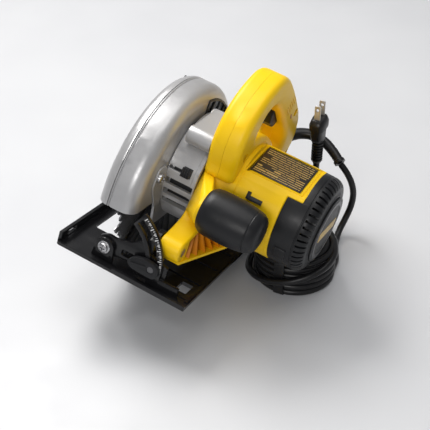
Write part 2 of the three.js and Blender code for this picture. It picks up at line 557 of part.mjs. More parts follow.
place('shoe', shoePlate(), BLACK_STEEL);
place('front_pivot_ear', pivotEar(QUADRANT.y0, QUADRANT.y1), BLACK_STEEL);
place('rear_pivot_ear', pivotEar(REAR_EAR_Y.rear + GAP, REAR_EAR_Y.rear + 3.3), BLACK_STEEL);
place('bevel_quadrant', bevelQuadrant(), BLACK_STEEL);
place('front_pivot_bolt', join(
  rodY(4.1, -116, -103, BEVEL_X, BEVEL_Z), rodY(7, -116.5, -113.2, BEVEL_X, BEVEL_Z)), STEEL);
place('rear_pivot_bolt', join(
  rodY(4.1, 128, 140, BEVEL_X, BEVEL_Z), rodY(7, 137.6, 141, BEVEL_X, BEVEL_Z)), STEEL);

// ---------------------------------------------------------------- bevel clamp
place('bevel_clamp_bolt', join(
  rodY(3, -117, -103, ...CLAMP), rodY(4.8, -105.5, -103, ...CLAMP)), STEEL);
place('bevel_lever', cut(prismY([
  [48, 12], [60, 12], [64, 18], [61, 26], [49, 28], [37, 25], [31, 18], [36, 13]], -116.8, -113.2),
  rodY(3.3, -118, -112, ...CLAMP)), BLACK_PLASTIC);

// ---------------------------------------------------------------- cord, on the table
const LEAD_PATH = [
  [148.9, 126.9, 79.1], [156, 126.5, 71], [162, 127.5, 59], [164.5, 128.5, 45], [163.5, 127, 30],
  [160.5, 121, 17], [158.5, 111, 8], [160, 98, 4.2], [164.5, 83, 3.8], [170.5, 68.5, 3.8]];
const PLUG_AT = [124, 122];
const PLUG_PATH = [
  [103.5, 69.5, 6], [105, 79, 4], [109, 90, 4.4], [114, 100, 8.5], [118.5, 109, 17], [121.8, 115.5, 28],
  [123.5, 119.5, 41], [124, 121.5, 54], [124, 122, 66], [124, 122, 78]];

function upright(profile, x, y, segments = 20) {
  const points = profile.map(([r, z]) => new THREE.Vector2(r, z));
  points.push(points[0].clone());
  const g = new THREE.LatheGeometry(points, segments).rotateX(Math.PI / 2).translate(x, y, 0);
  return toManifold(g);
}

const coilRing = upright([
  [COIL.r - 6.8, 3], [COIL.r - 4, 0], [COIL.r + 4, 0], [COIL.r + 6.8, 3],
  [COIL.r + 6.8, COIL.h - 3], [COIL.r + 4, COIL.h], [COIL.r - 4, COIL.h], [COIL.r - 6.8, COIL.h - 3]],
  COIL.x, COIL.y, 32);
place('cord_lead', tube(LEAD_PATH, CORD_R, 16), RUBBER, cord);
place('cord_coil', coilRing, RUBBER, cord);
place('plug_lead', tube(PLUG_PATH, CORD_R, 14), RUBBER, cord);

function plug() {
  const body = upright([
    [0, 78.3], [5, 78.3], [6.2, 100], [8, 104], [12, 112], [12, 127], [9, 131], [0, 131]], 0, 0, 16)
    .scale([0.7, 1, 1]).translate([...PLUG_AT, 0]);
  const blades = [-6.35, 6.35].map((dy) => box(
    PLUG_AT[0] - 3.2, PLUG_AT[0] + 3.2, PLUG_AT[1] + dy - 0.8, PLUG_AT[1] + dy + 0.8, 125, 147));
  return join(body, ...blades);
}

place('plug', plug(), RUBBER, cord);
place('cord_tie', box(COIL.x - 3, COIL.x + 3, COIL.y - COIL.r - 8.6, COIL.y - COIL.r - 7.1, 2, COIL.h - 2),
  RUBBER, cord);

// ---------------------------------------------------------------- set down on the table
saw.rotation.set(rad(-PITCH), rad(LEAN), 0);
saw.position.set(0, 0, TABLE_DROP);
saw.updateMatrixWorld(true);
const footprint = new THREE.Box3().setFromObject(saw, true);
cord.position.z = footprint.min.z;
const shift = new THREE.Vector3(
  -(footprint.min.x + footprint.max.x) / 2, -(footprint.min.y + footprint.max.y) / 2, -footprint.min.z);

const model = new THREE.Group();
model.position.copy(shift);
model.add(saw, cord);
export default model;
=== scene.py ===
"""Looks of a corded circular saw that lies on a pale table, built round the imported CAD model.

Detailed pieces are drawn in millimetres, in the saw's own upright frame: +X from the blade to the motor,
+Y to the rear, Z = 0 the sole of the shoe, X = 0 and Y = 0 at the middle of the blade. SAW lays that frame
over onto the table, in metres. The cord is drawn in the table's frame, which TABLE puts in place. An axis
along X is given as (y, z), and one along Y as (x, z).
"""

import json
import math
import random

import bmesh
import bpy
from mathutils import Matrix, Vector


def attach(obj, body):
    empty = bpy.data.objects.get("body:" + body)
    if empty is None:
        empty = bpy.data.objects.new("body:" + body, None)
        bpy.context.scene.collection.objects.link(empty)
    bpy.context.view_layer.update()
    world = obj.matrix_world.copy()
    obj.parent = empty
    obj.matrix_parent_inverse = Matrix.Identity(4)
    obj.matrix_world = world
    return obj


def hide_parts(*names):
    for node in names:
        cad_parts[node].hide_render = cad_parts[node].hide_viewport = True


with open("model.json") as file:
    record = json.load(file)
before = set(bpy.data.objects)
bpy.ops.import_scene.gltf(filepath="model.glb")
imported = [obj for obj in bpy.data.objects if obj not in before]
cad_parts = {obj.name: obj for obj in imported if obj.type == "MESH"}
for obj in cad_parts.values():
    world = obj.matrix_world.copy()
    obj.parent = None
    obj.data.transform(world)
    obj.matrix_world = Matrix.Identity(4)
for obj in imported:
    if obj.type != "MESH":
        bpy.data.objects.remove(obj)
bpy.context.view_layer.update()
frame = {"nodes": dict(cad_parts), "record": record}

# ---- frames, camera and lights
LEAN = math.radians(11.8)
PITCH = math.radians(11.7)
TABLE = Matrix.Diagonal((0.001, 0.001, 0.001, 1)) @ Matrix.Translation((-73.428, -19.083, 0))
SAW = (TABLE @ Matrix.Translation((0, 0, 51.87))
       @ Matrix.Rotation(-PITCH, 4, "X") @ Matrix.Rotation(LEAN, 4, "Y"))
ARBOR = (0, 46)
MOTOR = (0, 71)


def add_object(name, data):
    made = bpy.data.objects.new(name, data)
    bpy.context.collection.objects.link(made)
    return made


def add_camera():
    data = bpy.data.cameras.new("camera")
    data.lens, data.sensor_width = 85.5, 36
    data.clip_start, data.clip_end = 0.05, 20
    right, up = Vector((0.900, 0.436, 0.001)), Vector((-0.259, 0.534, 0.805))
    back = Vector((0.350, -0.725, 0.594))
    place = TABLE @ Vector((412.3, -714.9, 657.9))
    cam = add_object("camera", data)
    cam.matrix_world = Matrix.Translation(place) @ Matrix((right, up, back)).transposed().to_4x4()
    bpy.context.scene.camera = cam


def add_softbox(name, place, size, power):
    data = bpy.data.lights.new(name, "AREA")
    data.shape, data.size, data.size_y = "RECTANGLE", *size
    data.energy, data.color = power, (1, 0.98, 0.96)
    lamp = add_object(name, data)
    lamp.location = place
    lamp.rotation_euler = (Vector((0, 0, 0.08)) - Vector(place)).to_track_quat("-Z", "Y").to_euler()


def add_surroundings():
    world = bpy.data.worlds.new("studio")
    bpy.context.scene.world = world
    world.use_nodes = True
    background = world.node_tree.nodes["Background"]
    background.inputs["Color"].default_value = (0.86, 0.87, 0.9, 1)
    background.inputs["Strength"].default_value = 0.3
    add_softbox("key_light", (-0.75, 0.35, 1.25), (0.8, 0.6), 19)
    add_softbox("top_light", (0.15, 0.1, 1.5), (1.2, 1.0), 8)
    add_softbox("front_light", (0.3, -1.5, 0.9), (0.6, 0.4), 8)
    bpy.context.scene.view_settings.view_transform = "Standard"


# ---- materials
class Nodes:
    """A material under construction. Its patterns are in millimetres, in the row frame."""

    def __init__(self, name):
        self.material = bpy.data.materials.new(name)
        self.material.use_nodes = True
        self.tree = self.material.node_tree
        self.shader = self.tree.nodes["Principled BSDF"]
        self.place = self.make("ShaderNodeTexCoord").outputs["Object"]

    def make(self, kind, **settings):
        node = self.tree.nodes.new(kind)
        for key, value in settings.items():
            setattr(node, key, value)
        return node

    def link(self, output, node, socket):
        self.tree.links.new(output, node.inputs[socket])

    def noise(self, size_mm, detail, rough=0.55, place=None):
        node = self.make("ShaderNodeTexNoise")
        node.inputs["Scale"].default_value = 1000 / size_mm
        node.inputs["Detail"].default_value = detail
        node.inputs["Roughness"].default_value = rough
        self.link(place or self.place, node, "Vector")
        return node.outputs["Fac"]

    def stretched(self, size_mm, direction, stretch):
        """Noise drawn out along a direction of the saw, as brushing marks are."""
        along = SAW.to_3x3() @ Vector(direction)
        mapping = self.make("ShaderNodeMapping")
        mapping.inputs["Rotation"].default_value = along.to_track_quat("X", "Z").inverted().to_euler()
        mapping.inputs["Scale"].default_value = (1 / stretch, 1, 1)
        self.link(self.place, mapping, "Vector")
        return self.noise(size_mm, 2, 0.5, mapping.outputs["Vector"])

    def spread(self, pattern, low=0.3, high=0.7, to_low=0, to_high=1):
        """The pattern's values from low to high, drawn out to the new limits."""
        node = self.make("ShaderNodeMapRange")
        limits = {"From Min": low, "From Max": high, "To Min": to_low, "To Max": to_high}
        for socket, number in limits.items():
            node.inputs[socket].default_value = number
        self.link(pattern, node, "Value")
        return node.outputs["Result"]

    def rough(self, pattern, low, high):
        """Roughness that follows a pattern."""
        return self.spread(pattern, to_low=low, to_high=high)

    def blend(self, factor, first, second):
        node = self.make("ShaderNodeMix", data_type="RGBA")
        for socket, colour in ((6, first), (7, second)):
            if isinstance(colour, tuple):
                node.inputs[socket].default_value = (*colour, 1)
            else:
                self.link(colour, node, socket)
        self.link(factor, node, 0)
        return node.outputs[2]

    def calculate(self, operation, a, b):
        node = self.make("ShaderNodeMath", operation=operation)
        self.link(a, node, 0)
        self.link(b, node, 1)
        return node.outputs[0]

    def bump(self, height, depth_mm, strength, under=None):
        node = self.make("ShaderNodeBump")
        node.inputs["Distance"].default_value = depth_mm / 1000
        node.inputs["Strength"].default_value = strength
        self.link(height, node, "Height")
        if under:
            self.link(under, node, "Normal")
        return node.outputs["Normal"]

    def surface(self, colour, roughness, normal=None, metallic=0.0, specular=0.5):
        """Links the finished patterns to the shader."""
        for socket, output in (("Base Color", colour), ("Roughness", roughness), ("Normal", normal)):
            if output:
                self.link(output, self.shader, socket)
        self.shader.inputs["Metallic"].default_value = metallic
        self.shader.inputs["Specular IOR Level"].default_value = specular
        return self.material


def shade(tone, amount):
    return tuple(min(1.0, c * amount) for c in tone)


def moulded(name, tone, rough, grain_mm, grain_depth, spread, specular=0.5):
    """Injection-moulded plastic or rubber: fine spark-eroded grain, faint flow marks, uneven gloss, dust."""
    n = Nodes(name)
    flow = n.noise(45, 2)
    colour = n.blend(n.spread(flow), shade(tone, 1 - spread), shade(tone, 1 + spread))
    dust = n.spread(n.noise(9, 6, 0.7), 0.6, 0.85, 0, 0.05)
    fine = n.bump(n.noise(grain_mm, 2), grain_depth, 0.5)
    return n.surface(n.blend(dust, colour, (0.4, 0.38, 0.35)),
                     n.rough(n.noise(6, 4), rough - 0.05, rough + 0.07),
                     n.bump(flow, 0.25, 0.2, under=fine), specular=specular)


def cast(name, tone, rough, metallic):
    """Satin silver paint over a casting: orange peel, metal flake, slightly uneven gloss."""
    n = Nodes(name)
    flake = n.noise(0.35, 1)
    patches = n.blend(n.spread(n.noise(30, 3)), shade(tone, 0.93), shade(tone, 1.05))
    glint = n.blend(n.spread(flake, 0.45, 0.75, 0, 0.35), patches, shade(tone, 1.3))
    peel = n.bump(n.noise(2.2, 3), 0.05, 0.35)
    return n.surface(glint, n.rough(n.noise(5, 4), rough - 0.05, rough + 0.06),
                     n.bump(flake, 0.012, 0.4, under=peel), metallic)


def painted_steel(name, tone, rough):
    """Gloss black paint on pressed steel, with fine scratches that show the metal."""
    n = Nodes(name)
    long_marks = n.spread(n.stretched(1.2, (0, 1, 0), 26), 0.70, 0.76)
    cross_marks = n.spread(n.stretched(1.0, (1, 0.3, 0), 30), 0.715, 0.77)
    patch = n.spread(n.noise(26, 3), 0.56, 0.72, 0, 0.3)
    scratch = n.calculate("MULTIPLY", n.calculate("MAXIMUM", long_marks, cross_marks), patch)
    base = n.blend(n.spread(n.noise(18, 4)), shade(tone, 0.9), shade(tone, 1.15))
    peel = n.bump(n.noise(4, 3), 0.03, 0.15)
    return n.surface(n.blend(scratch, base, (0.16, 0.165, 0.17)),
                     n.spread(n.noise(14, 4), 0.3, 0.72, rough - 0.04, rough + 0.06),
                     n.bump(scratch, -0.02, 0.4, under=peel), specular=0.4)


def bright_steel(name, tone, rough, grain=(1, 0, 0), metallic=1.0):
    """Zinc-plated or ground steel: fine drawn-out tool marks, slight tarnish."""
    n = Nodes(name)
    tarnish = n.spread(n.noise(7, 4), 0.35)
    marks = n.stretched(0.5, grain, 20)
    return n.surface(n.blend(tarnish, tone, shade(tone, 0.78)), n.rough(marks, rough - 0.06, rough + 0.1),
                     n.bump(marks, 0.02, 0.5), metallic)


def turned_steel(name, tone, rough, centre):
    """Ground steel with rings about an axis along X: the blade's face."""
    n = Nodes(name)
    offset = n.make("ShaderNodeVectorMath", operation="DISTANCE")
    offset.inputs[1].default_value = centre
    n.link(n.place, offset, 0)
    wave = n.make("ShaderNodeTexNoise", noise_dimensions="1D")
    wave.inputs["Scale"].default_value = 2600
    n.link(offset.outputs["Value"], wave, "W")
    rings = wave.outputs["Fac"]
    tarnish = n.spread(n.noise(16, 4), 0.35)
    return n.surface(n.blend(tarnish, tone, shade(tone, 0.8)), n.rough(rings, rough - 0.05, rough + 0.1),
                     n.bump(rings, 0.015, 0.5), 1.0)


def laminated(name, tone):
    """A stack of thin varnished sheets along X."""
    n = Nodes(name)
    wave = n.make("ShaderNodeTexWave", wave_type="BANDS", bands_direction="X")
    wave.inputs["Scale"].default_value = 320
    wave.inputs["Distortion"].default_value = 0.4
    n.link(n.place, wave, "Vector")
    sheets = wave.outputs["Fac"]
    return n.surface(n.blend(sheets, shade(tone, 0.6), shade(tone, 1.4)), n.rough(n.noise(4, 3), 0.4, 0.6),
                     n.bump(sheets, 0.05, 0.6), 0.8)


def label_film(name, tone):
    """Printed plastic film: satin, with faint handling marks."""
    n = Nodes(name)
    rub = n.spread(n.noise(5, 6, 0.7), 0.5, 0.75, 0, 0.35)
    return n.surface(n.blend(rub, tone, shade(tone, 1.7)), n.rough(n.noise(3, 3), 0.28, 0.42),
                     n.bump(n.noise(1.2, 2), 0.01, 0.4))


YELLOW = moulded("yellow_nylon", (0.95, 0.60, 0.004), 0.38, 0.9, 0.02, 0.03, 0.32)
SILVER = cast("silver_paint", (0.47, 0.47, 0.475), 0.35, 0.45)
BLACK = moulded("charcoal_nylon", (0.010, 0.0105, 0.012), 0.40, 0.6, 0.04, 0.15, 0.30)
GREY_PART = moulded("dark_grey_nylon", (0.020, 0.021, 0.023), 0.44, 0.8, 0.04, 0.15, 0.30)
RUBBER = moulded("cord_rubber", (0.009, 0.009, 0.010), 0.33, 1.0, 0.03, 0.15, 0.35)
PAINT = painted_steel("black_paint", (0.008, 0.008, 0.009), 0.2)
GUARD_BLACK = painted_steel("guard_paint", (0.03, 0.031, 0.034), 0.4)
ZINC = bright_steel("zinc_plate", (0.56, 0.56, 0.57), 0.28)
NICKEL = bright_steel("contact_metal", (0.74, 0.74, 0.74), 0.38, (0, 0, 1), metallic=0.6)
ZINC_DARK = bright_steel("dull_metal", (0.16, 0.16, 0.165), 0.4)
COPPER = bright_steel("copper", (0.62, 0.32, 0.16), 0.35)
BLADE = turned_steel("blade_steel", (0.6, 0.6, 0.61), 0.26, SAW @ Vector((0, *ARBOR)))
IRON = laminated("iron_laminations", (0.2, 0.2, 0.21))
CARBON = moulded("carbon", (0.02, 0.02, 0.02), 0.7, 0.4, 0.05, 0.2)
FILM = label_film("label_film", (0.022, 0.018, 0.014))
PRINT = label_film("label_print", (0.62, 0.42, 0.12))
WHITE = label_film("scale_print", (0.75, 0.75, 0.74))
# a darker, orange copy of the yellow for the hollow under the knob: painted shade, not a colour of the
# plastic
PAINTED_SHADE_YELLOW = moulded("shaded_yellow", (0.62, 0.21, 0.002), 0.45, 0.9, 0.03, 0.06, 0.25)
RED = moulded("red_nylon", (0.28, 0.012, 0.008), 0.4, 0.9, 0.03, 0.06)

SLOT_MATERIALS = {
    "yellow": (YELLOW, PAINTED_SHADE_YELLOW, RED), "cast": (SILVER,), "black_plastic": (BLACK, GREY_PART),
    "black_steel": (PAINT, GUARD_BLACK), "steel": (ZINC, NICKEL, ZINC_DARK), "blade_steel": (BLADE,),
    "iron": (IRON,), "copper": (COPPER,), "carbon": (CARBON,), "rubber": (RUBBER,),
    "plate": (FILM, PRINT, WHITE),
}


def give_cad_nodes_materials():
    for part in frame["record"]["subparts"]:
        mesh = frame["nodes"][part["node"]].data
        mesh.materials.clear()
        mesh.materials.append(SLOT_MATERIALS[part["material_slot"]][0])


# ---- shapes, in millimetres
def new_shape(vertices, faces):
    mesh = bpy.data.meshes.new("shape")
    mesh.from_pydata([tuple(v) for v in vertices], [], faces)
    mesh.update()
    return add_object("shape", mesh)


def face_outwards(piece):
    bm = bmesh.new()
    bm.from_mesh(piece.data)
    bmesh.ops.remove_doubles(bm, verts=bm.verts, dist=1e-4)
    bmesh.ops.recalc_face_normals(bm, faces=bm.faces)
    bm.to_mesh(piece.data)
    bm.free()
    return piece


def lathe(profile, y, z, steps):
    """A closed profile of (radius, x) points turned about an axis along X through (y, z)."""
    vertices, faces, rings = [], [], []
    for r, x in profile:
        if r < 1e-6:
            rings.append([len(vertices)] * steps)
            vertices.append((x, y, z))
        else:
            rings.append(list(range(len(vertices), len(vertices) + steps)))
            for k in range(steps):
                a = 2 * math.pi * k / steps
                vertices.append((x, y + r * math.cos(a), z + r * math.sin(a)))
    for first, second in zip(rings, rings[1:] + rings[:1]):
        for k in range(steps):
            corners = [first[k], first[(k + 1) % steps], second[(k + 1) % steps], second[k]]
            corners = list(dict.fromkeys(corners))
            if len(corners) > 2:
                faces.append(corners)
    return face_outwards(new_shape(vertices, faces))


def loft(*solids):
    """One object made of closed solids, each a list of rings of points, with flat ends."""
    vertices, faces = [], []
    for rings in solids:
        n, base = len(rings[0]), len(vertices)
        vertices += [point for ring in rings for point in ring]
        last = len(vertices) - 1
        faces += [list(range(base, base + n)), list(range(last, last - n, -1))]
        faces += [[r + k, r + (k + 1) % n, r + n + (k + 1) % n, r + n + k]
                  for r in range(base, last + 1 - n, n) for k in range(n)]
    return face_outwards(new_shape(vertices, faces))


PLANES = {"X": lambda u, v, w: (w, u, v), "Y": lambda u, v, w: (u, w, v), "Z": lambda u, v, w: (u, v, w)}


def prism(axis, outline, start, end, corner=0, steps=5):
    """An outline, (y, z) or (x, z) or (x, y), pushed along X, Y or Z. Corner is its corners' radius."""
    put = PLANES[axis]
    if corner:
        outline = rounded(outline, corner, steps)
    return loft([[put(u, v, w) for u, v in outline] for w in (start, end)])


def hull(points):
    """The smallest bulging shape round the points."""
    bm = bmesh.new()
    for point in points:
        bm.verts.new(point)
    made = bmesh.ops.convex_hull(bm, input=bm.verts)
    bmesh.ops.delete(bm, geom=list({v for v in made["geom_interior"] + made["geom_unused"]
                                    if isinstance(v, bmesh.types.BMVert)}), context="VERTS")
    piece = new_shape([], [])
    bm.to_mesh(piece.data)
    bm.free()
    return face_outwards(piece)


def rectangle(u0, u1, v0, v1):
    return [(u0, v0), (u1, v0), (u1, v1), (u0, v1)]


def box(x0, x1, y0, y1, z0, z1):
    return prism("Z", rectangle(x0, x1, y0, y1), z0, z1)


def rod(radius, x0, x1, y, z, steps):
    """A round bar along X."""
    return lathe([(0, x0), (radius, x0), (radius, x1), (0, x1)], y, z, steps)


def polar(r, degrees, y=0.0, z=0.0):
    return (y + r * math.cos(math.radians(degrees)), z + r * math.sin(math.radians(degrees)))


def arc(r, start, end, steps, y, z):
    return [polar(r, start + (end - start) * k / steps, y, z) for k in range(steps + 1)]


def sector(r0, r1, start, end, steps, y, z):
    return arc(r1, start, end, steps, y, z) + arc(r0, end, start, steps, y, z)


def rounded(outline, radius, steps):
    """The outline with each corner rounded."""
    out = []
    n = len(outline)
    for k in range(n):
        before, corner, after = (Vector(outline[(k + j) % n]) for j in (-1, 0, 1))
        a, b = before - corner, after - corner
        reach = min(radius, a.length * 0.45, b.length * 0.45)
        p, q = corner + a.normalized() * reach, corner + b.normalized() * reach
        for s in range(steps + 1):
            t = s / steps
            out.append(tuple(p * (1 - t) ** 2 + corner * 2 * t * (1 - t) + q * t * t))
    return out


def ring_piece(piece, x0, x1, corner=0):
    """Part of a ring about the arbor: [inner radius, outer radius, start, end, steps] from x0 to x1."""
    return prism("X", sector(*piece, *ARBOR), x0, x1, corner)


def curve_point(p0, p1, p2, p3, t):
    """A point between p1 and p2 on a smooth curve through all four."""
    return 0.5 * ((2 * p1) + (p2 - p0) * t + (2 * p0 - 5 * p1 + 4 * p2 - p3) * t * t
                  + (3 * p1 - p0 - 3 * p2 + p3) * t ** 3)


def smooth_loop(outline, per_side):
    """A closed smooth curve through the points."""
    out = []
    for k in range(len(outline)):
        near = [Vector(outline[(k + j) % len(outline)]) for j in (-1, 0, 1, 2)]
        out += [tuple(curve_point(*near, s / per_side)) for s in range(per_side)]
    return out


def smooth_line(points, step):
    """An open smooth curve through the points, resampled a step apart."""
    dense = []
    ends = [points[0] * 2 - points[1], *points, points[-1] * 2 - points[-2]]
    for k in range(1, len(ends) - 2):
        pieces = max(2, int((ends[k + 1] - ends[k]).length / step * 3))
        dense += [curve_point(*ends[k - 1:k + 3], s / pieces) for s in range(pieces)]
    dense.append(points[-1])
    out, walked = [dense[0]], 0.0
    for a, b in zip(dense, dense[1:]):
        walked += (b - a).length
        if walked >= step:
            out.append(b)
            walked = 0.0
    if (out[-1] - dense[-1]).length > step * 0.3:
        out.append(dense[-1])
    else:
        out[-1] = dense[-1]
    return out


def turn_about_x(piece, degrees, y, z):
    spin = (Matrix.Translation((0, y, z)) @ Matrix.Rotation(math.radians(degrees), 4, "X")
            @ Matrix.Translation((0, -y, -z)))
    piece.data.transform(spin)
    return piece


def radial_box(x0, x1, r0, r1, half, degrees, axis=MOTOR):
    """A box on a radius of an axis along X, turned to an angle round it: 0 to the rear, 90 up."""
    y, z = axis
    return turn_about_x(box(x0, x1, y + r0, y + r1, z - half, z + half), degrees, *axis)


def turned_box(middle, size, degrees, x0, x1):
    """A box through x, centred on (y, z) and turned about X."""
    (y, z), (long, high) = middle, (size[0] / 2, size[1] / 2)
    return turn_about_x(box(x0, x1, y - long, y + long, z - high, z + high), degrees, y, z)


def apply_modifiers(piece):
    graph = bpy.context.evaluated_depsgraph_get()
    mesh = bpy.data.meshes.new_from_object(piece.evaluated_get(graph))
    piece.modifiers.clear()
    old, piece.data = piece.data, mesh
    bpy.data.meshes.remove(old)
    return piece


def combine(piece, tools, operation):
    """Cuts the tools from the piece, joins them to it, or keeps what they share; the tools are used up."""
    for tool in tools:
        m = piece.modifiers.new("combine", "BOOLEAN")
        m.operation, m.solver, m.object = operation, "MANIFOLD", tool
    apply_modifiers(piece)
    for tool in tools:
        bpy.data.objects.remove(tool)
    return piece


def cut(piece, *tools):
    return combine(piece, tools, "DIFFERENCE")


def join(piece, *tools):
    return combine(piece, tools, "UNION")


def soften(piece, width, segments=2, angle=32):
    """Rounds the sharp edges."""
    m = piece.modifiers.new("soften", "BEVEL")
    m.width, m.segments, m.limit_method, m.angle_limit = width, segments, "ANGLE", math.radians(angle)
    m.miter_outer = "MITER_ARC"
    m.use_clamp_overlap = True
    return apply_modifiers(piece)


def settle(piece, name, material, stands_for=None, body="saw_body", place=SAW, crease=38):
    """Puts a finished shape into the row frame and onto its body, by default in its material's own slot."""
    piece.name = piece.data.name = name
    piece.data.transform(place)
    piece.data.materials.clear()
    piece.data.materials.append(material)
    piece.data.shade_smooth()
    piece.data.set_sharp_from_angle(angle=math.radians(crease))
    piece.data.update()
    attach(piece, body)
    if stands_for:
        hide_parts(stands_for)
    return piece


# ---- cord: relief, coil, lead and plug
CORD_D = 6.8
COIL_C = Vector((137.5, 38))
COIL_R = (30.6, 37.4)
RELIEF_PATH = [(86, 122, 96.5), (92, 129.5, 97), (100, 136, 97.8), (112, 139.5, 97), (126, 138, 93),
               (138, 133.5, 86.5), (147.8, 127.5, 80)]
LEAD_PATH = [(148.9, 126.9, 79.1), (156, 126.5, 71), (162, 127.5, 59), (164.5, 128.5, 45), (163.5, 127, 30),
             (160.5, 121, 17), (158.5, 111, 8), (160, 98, 4.2), (164.5, 83, 3.8), (170.5, 68.5, 3.8)]
PLUG_PATH = [(103.5, 69.5, 6), (105, 79, 4), (109, 90, 4.4), (114, 100, 8.5), (118.5, 109, 17),
             (121.8, 115.5, 28), (123.5, 119.5, 41), (124, 121.5, 54), (124, 122, 66), (124, 122, 78)]
PLUG_AT = (124, 122)
PLUG_SHOULDER = 105
PIN_APART, PIN_WIDE, PIN_THICK = 12.7, 6.3, 1.5


def coil_point(radius, degrees, z):
    return Vector((*(COIL_C + Vector(polar(radius, degrees))), z))


def coil_route():
    """Twelve turns, clockwise from above: two abreast, six high, then down over the front to the table."""
    turns = []
    per_turn, change = 24, 5
    lowest = CORD_D / 2 + 0.2
    places = [(COIL_R[column], lowest + (k // 2) * CORD_D)
              for k, column in enumerate([1, 0, 0, 1, 1, 0, 0, 1, 1, 0, 0, 1])]
    for k, (radius, z) in enumerate(places):
        next_radius, next_z = places[min(k + 1, len(places) - 1)]
        for s in range(per_turn):
            t = max(0.0, (s - per_turn + change) / change)
            ease = t * t * (3 - 2 * t)
            turns.append(coil_point(radius + (next_radius - radius) * ease,
                                    20 - 360 * k - 360 * s / per_turn, z + (next_z - z) * ease))
    top = turns[-1].z
    way_out = [(38.5, 20, top), (42.5, -10, top - 0.6), (46.0, -40, top - 5), (46.3, -75, top - 14),
               (46.3, -110, top - 22), (46.3, -145, top - 28), (46.3, -180, 6), (46.5, -205, 4.4)]
    return turns + [coil_point(r, a, z) for r, a, z in way_out]


def make_cord():
    lead, plug_lead = ([Vector(p) for p in path] for path in (LEAD_PATH, PLUG_PATH[1:]))
    line = smooth_line(lead + coil_route() + plug_lead, 2.4)
    curve = bpy.data.curves.new("power_cord", "CURVE")
    curve.dimensions = "3D"
    spline = curve.splines.new("POLY")
    spline.points.add(len(line) - 1)
    for point, place in zip(spline.points, line):
        point.co = (*(TABLE @ place), 1)
    curve.bevel_depth = CORD_D / 2000
    curve.bevel_resolution = 3
    curve.use_fill_caps = True
    curve.materials.append(RUBBER)
    piece = add_object("power_cord", curve)
    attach(piece, "saw_body")
    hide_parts("cord_lead", "cord_coil", "plug_lead")
    length = sum((b - a).length for a, b in zip(line, line[1:])) / 1000
    return piece, length


def sweep(path, radii, sides=24):
    """A round tube along the path whose radius is given at each point, with closed ends."""
    rings = []
    across = Vector((0, 0, 1))
    for k, point in enumerate(path):
        ahead = (path[min(k + 1, len(path) - 1)] - path[max(k - 1, 0)]).normalized()
        across = (across - ahead * across.dot(ahead)).normalized()
        other = ahead.cross(across)
        turn = [2 * math.pi * s / sides for s in range(sides)]
        rings.append([point + (across * math.cos(a) + other * math.sin(a)) * radii[k] for a in turn])
    return loft(rings)


def make_relief():
    """The flex sleeve at the handle: smooth and tapered, with a collar at its free end."""
    line = smooth_line([Vector(p) for p in RELIEF_PATH], 0.7)
    along = [k / (len(line) - 1) for k in range(len(line))]
    radii = [6.2 - 1.4 * t + (1.1 if t > 0.94 else 0) for t in along]
    return settle(sweep(line, radii), "flex_sleeve", RUBBER, "strain_relief", place=TABLE)


def make_plug():
    """Two-pin plug that stands up: round ribbed neck, squarer waisted body, a step below the blades."""
    centre = Vector((*PLUG_AT, 0))
    stations = [(78.3, 4.3, 4.3), (80, 5.0, 5.0)]
    for k in range(7):
        z = 81 + 3.2 * k
        stations += [(z, 5.9, 5.9), (z + 1.7, 5.9, 5.9), (z + 1.9, 4.5, 4.5), (z + 3.0, 4.5, 4.5)]
    stations += [(104, 5.9, 6.6), (106, 6.2, 8.4), (109, 6.3, 9.3), (114, 6.3, 10.2), (119, 6.6, 10.4),
                 (119.6, 8, 12), (125.5, 8.2, 12.2), (127.3, 7.6, 11.6), (131, 6.4, 9.6), (131.4, 5.6, 8.9)]
    rings = []
    for z, rx, ry in stations:
        power = 1.0 if z < PLUG_SHOULDER else 1 / 1.7
        turn = [(math.cos(a), math.sin(a)) for a in (2 * math.pi * s / 32 for s in range(32))]
        rings.append([centre + Vector((rx * math.copysign(abs(c) ** power, c),
                                       ry * math.copysign(abs(d) ** power, d), z)) for c, d in turn])
    body = loft(rings)
    pieces = [settle(body, "plug_body", RUBBER, "plug", place=TABLE, crease=50)]
    for k, side in enumerate((-0.5, 0.5)):
        x, y = PLUG_AT[0], PLUG_AT[1] + side * PIN_APART
        outline = rectangle(x - PIN_WIDE / 2, x + PIN_WIDE / 2, 126, 147)
        pin = prism("Y", outline, y - PIN_THICK / 2, y + PIN_THICK / 2, 1.6)
        hole = prism("Y", arc(1.5, 0, 330, 11, x, 142.5), y - 2, y + 2)
        pin = soften(cut(pin, hole), 0.25)
        pieces.append(settle(pin, f"plug_blade_{k + 1}", NICKEL, place=TABLE))
    return pieces


def make_tie():
    """A hook-and-loop strap round the coil's section, at its front."""
    x, y = COIL_C
    near, far, low, high = y - COIL_R[1] - 5.2, y - COIL_R[0] + 5.0, 0.35, 41.6
    thick = 1.2
    strap = prism("X", rectangle(near, far, low, high), x - 5, x + 5, 5, 6)
    inner = rectangle(near + thick, far - thick, low + thick, high - thick)
    cut(strap, prism("X", inner, x - 6, x + 6, 4, 6))
    return settle(soften(strap, 0.3), "coil_strap", RUBBER, "cord_tie", place=TABLE)


add_camera()
power_cord, cord_length = make_cord()
relief = make_relief()
plug_pieces = make_plug()
tie = make_tie()
add_surroundings()
give_cad_nodes_materials()


# ---- table
def make_table():
    reach = 2.6
    top = new_shape([(u, v, 0) for u, v in rectangle(-reach, reach, -reach, reach)], [[0, 1, 2, 3]])
    top.name = "table"
    n = Nodes("pale_table")
    colour = n.blend(n.spread(n.noise(300, 3)), (0.60, 0.61, 0.63), (0.65, 0.66, 0.675))
    top.data.materials.append(n.surface(colour, n.rough(n.noise(60, 3), 0.32, 0.45)))


make_table()

# ---- blade guards
BELOW_GUARD = [(-130, 49), (-56, 49), (-48, 18), (40, 18), (62, 46), (130, 46), (130, -80), (-130, -80)]
LEVER_SLOT = (61, 69.5, -20, 112)
CHUTE = (74, 90, 40, 86)


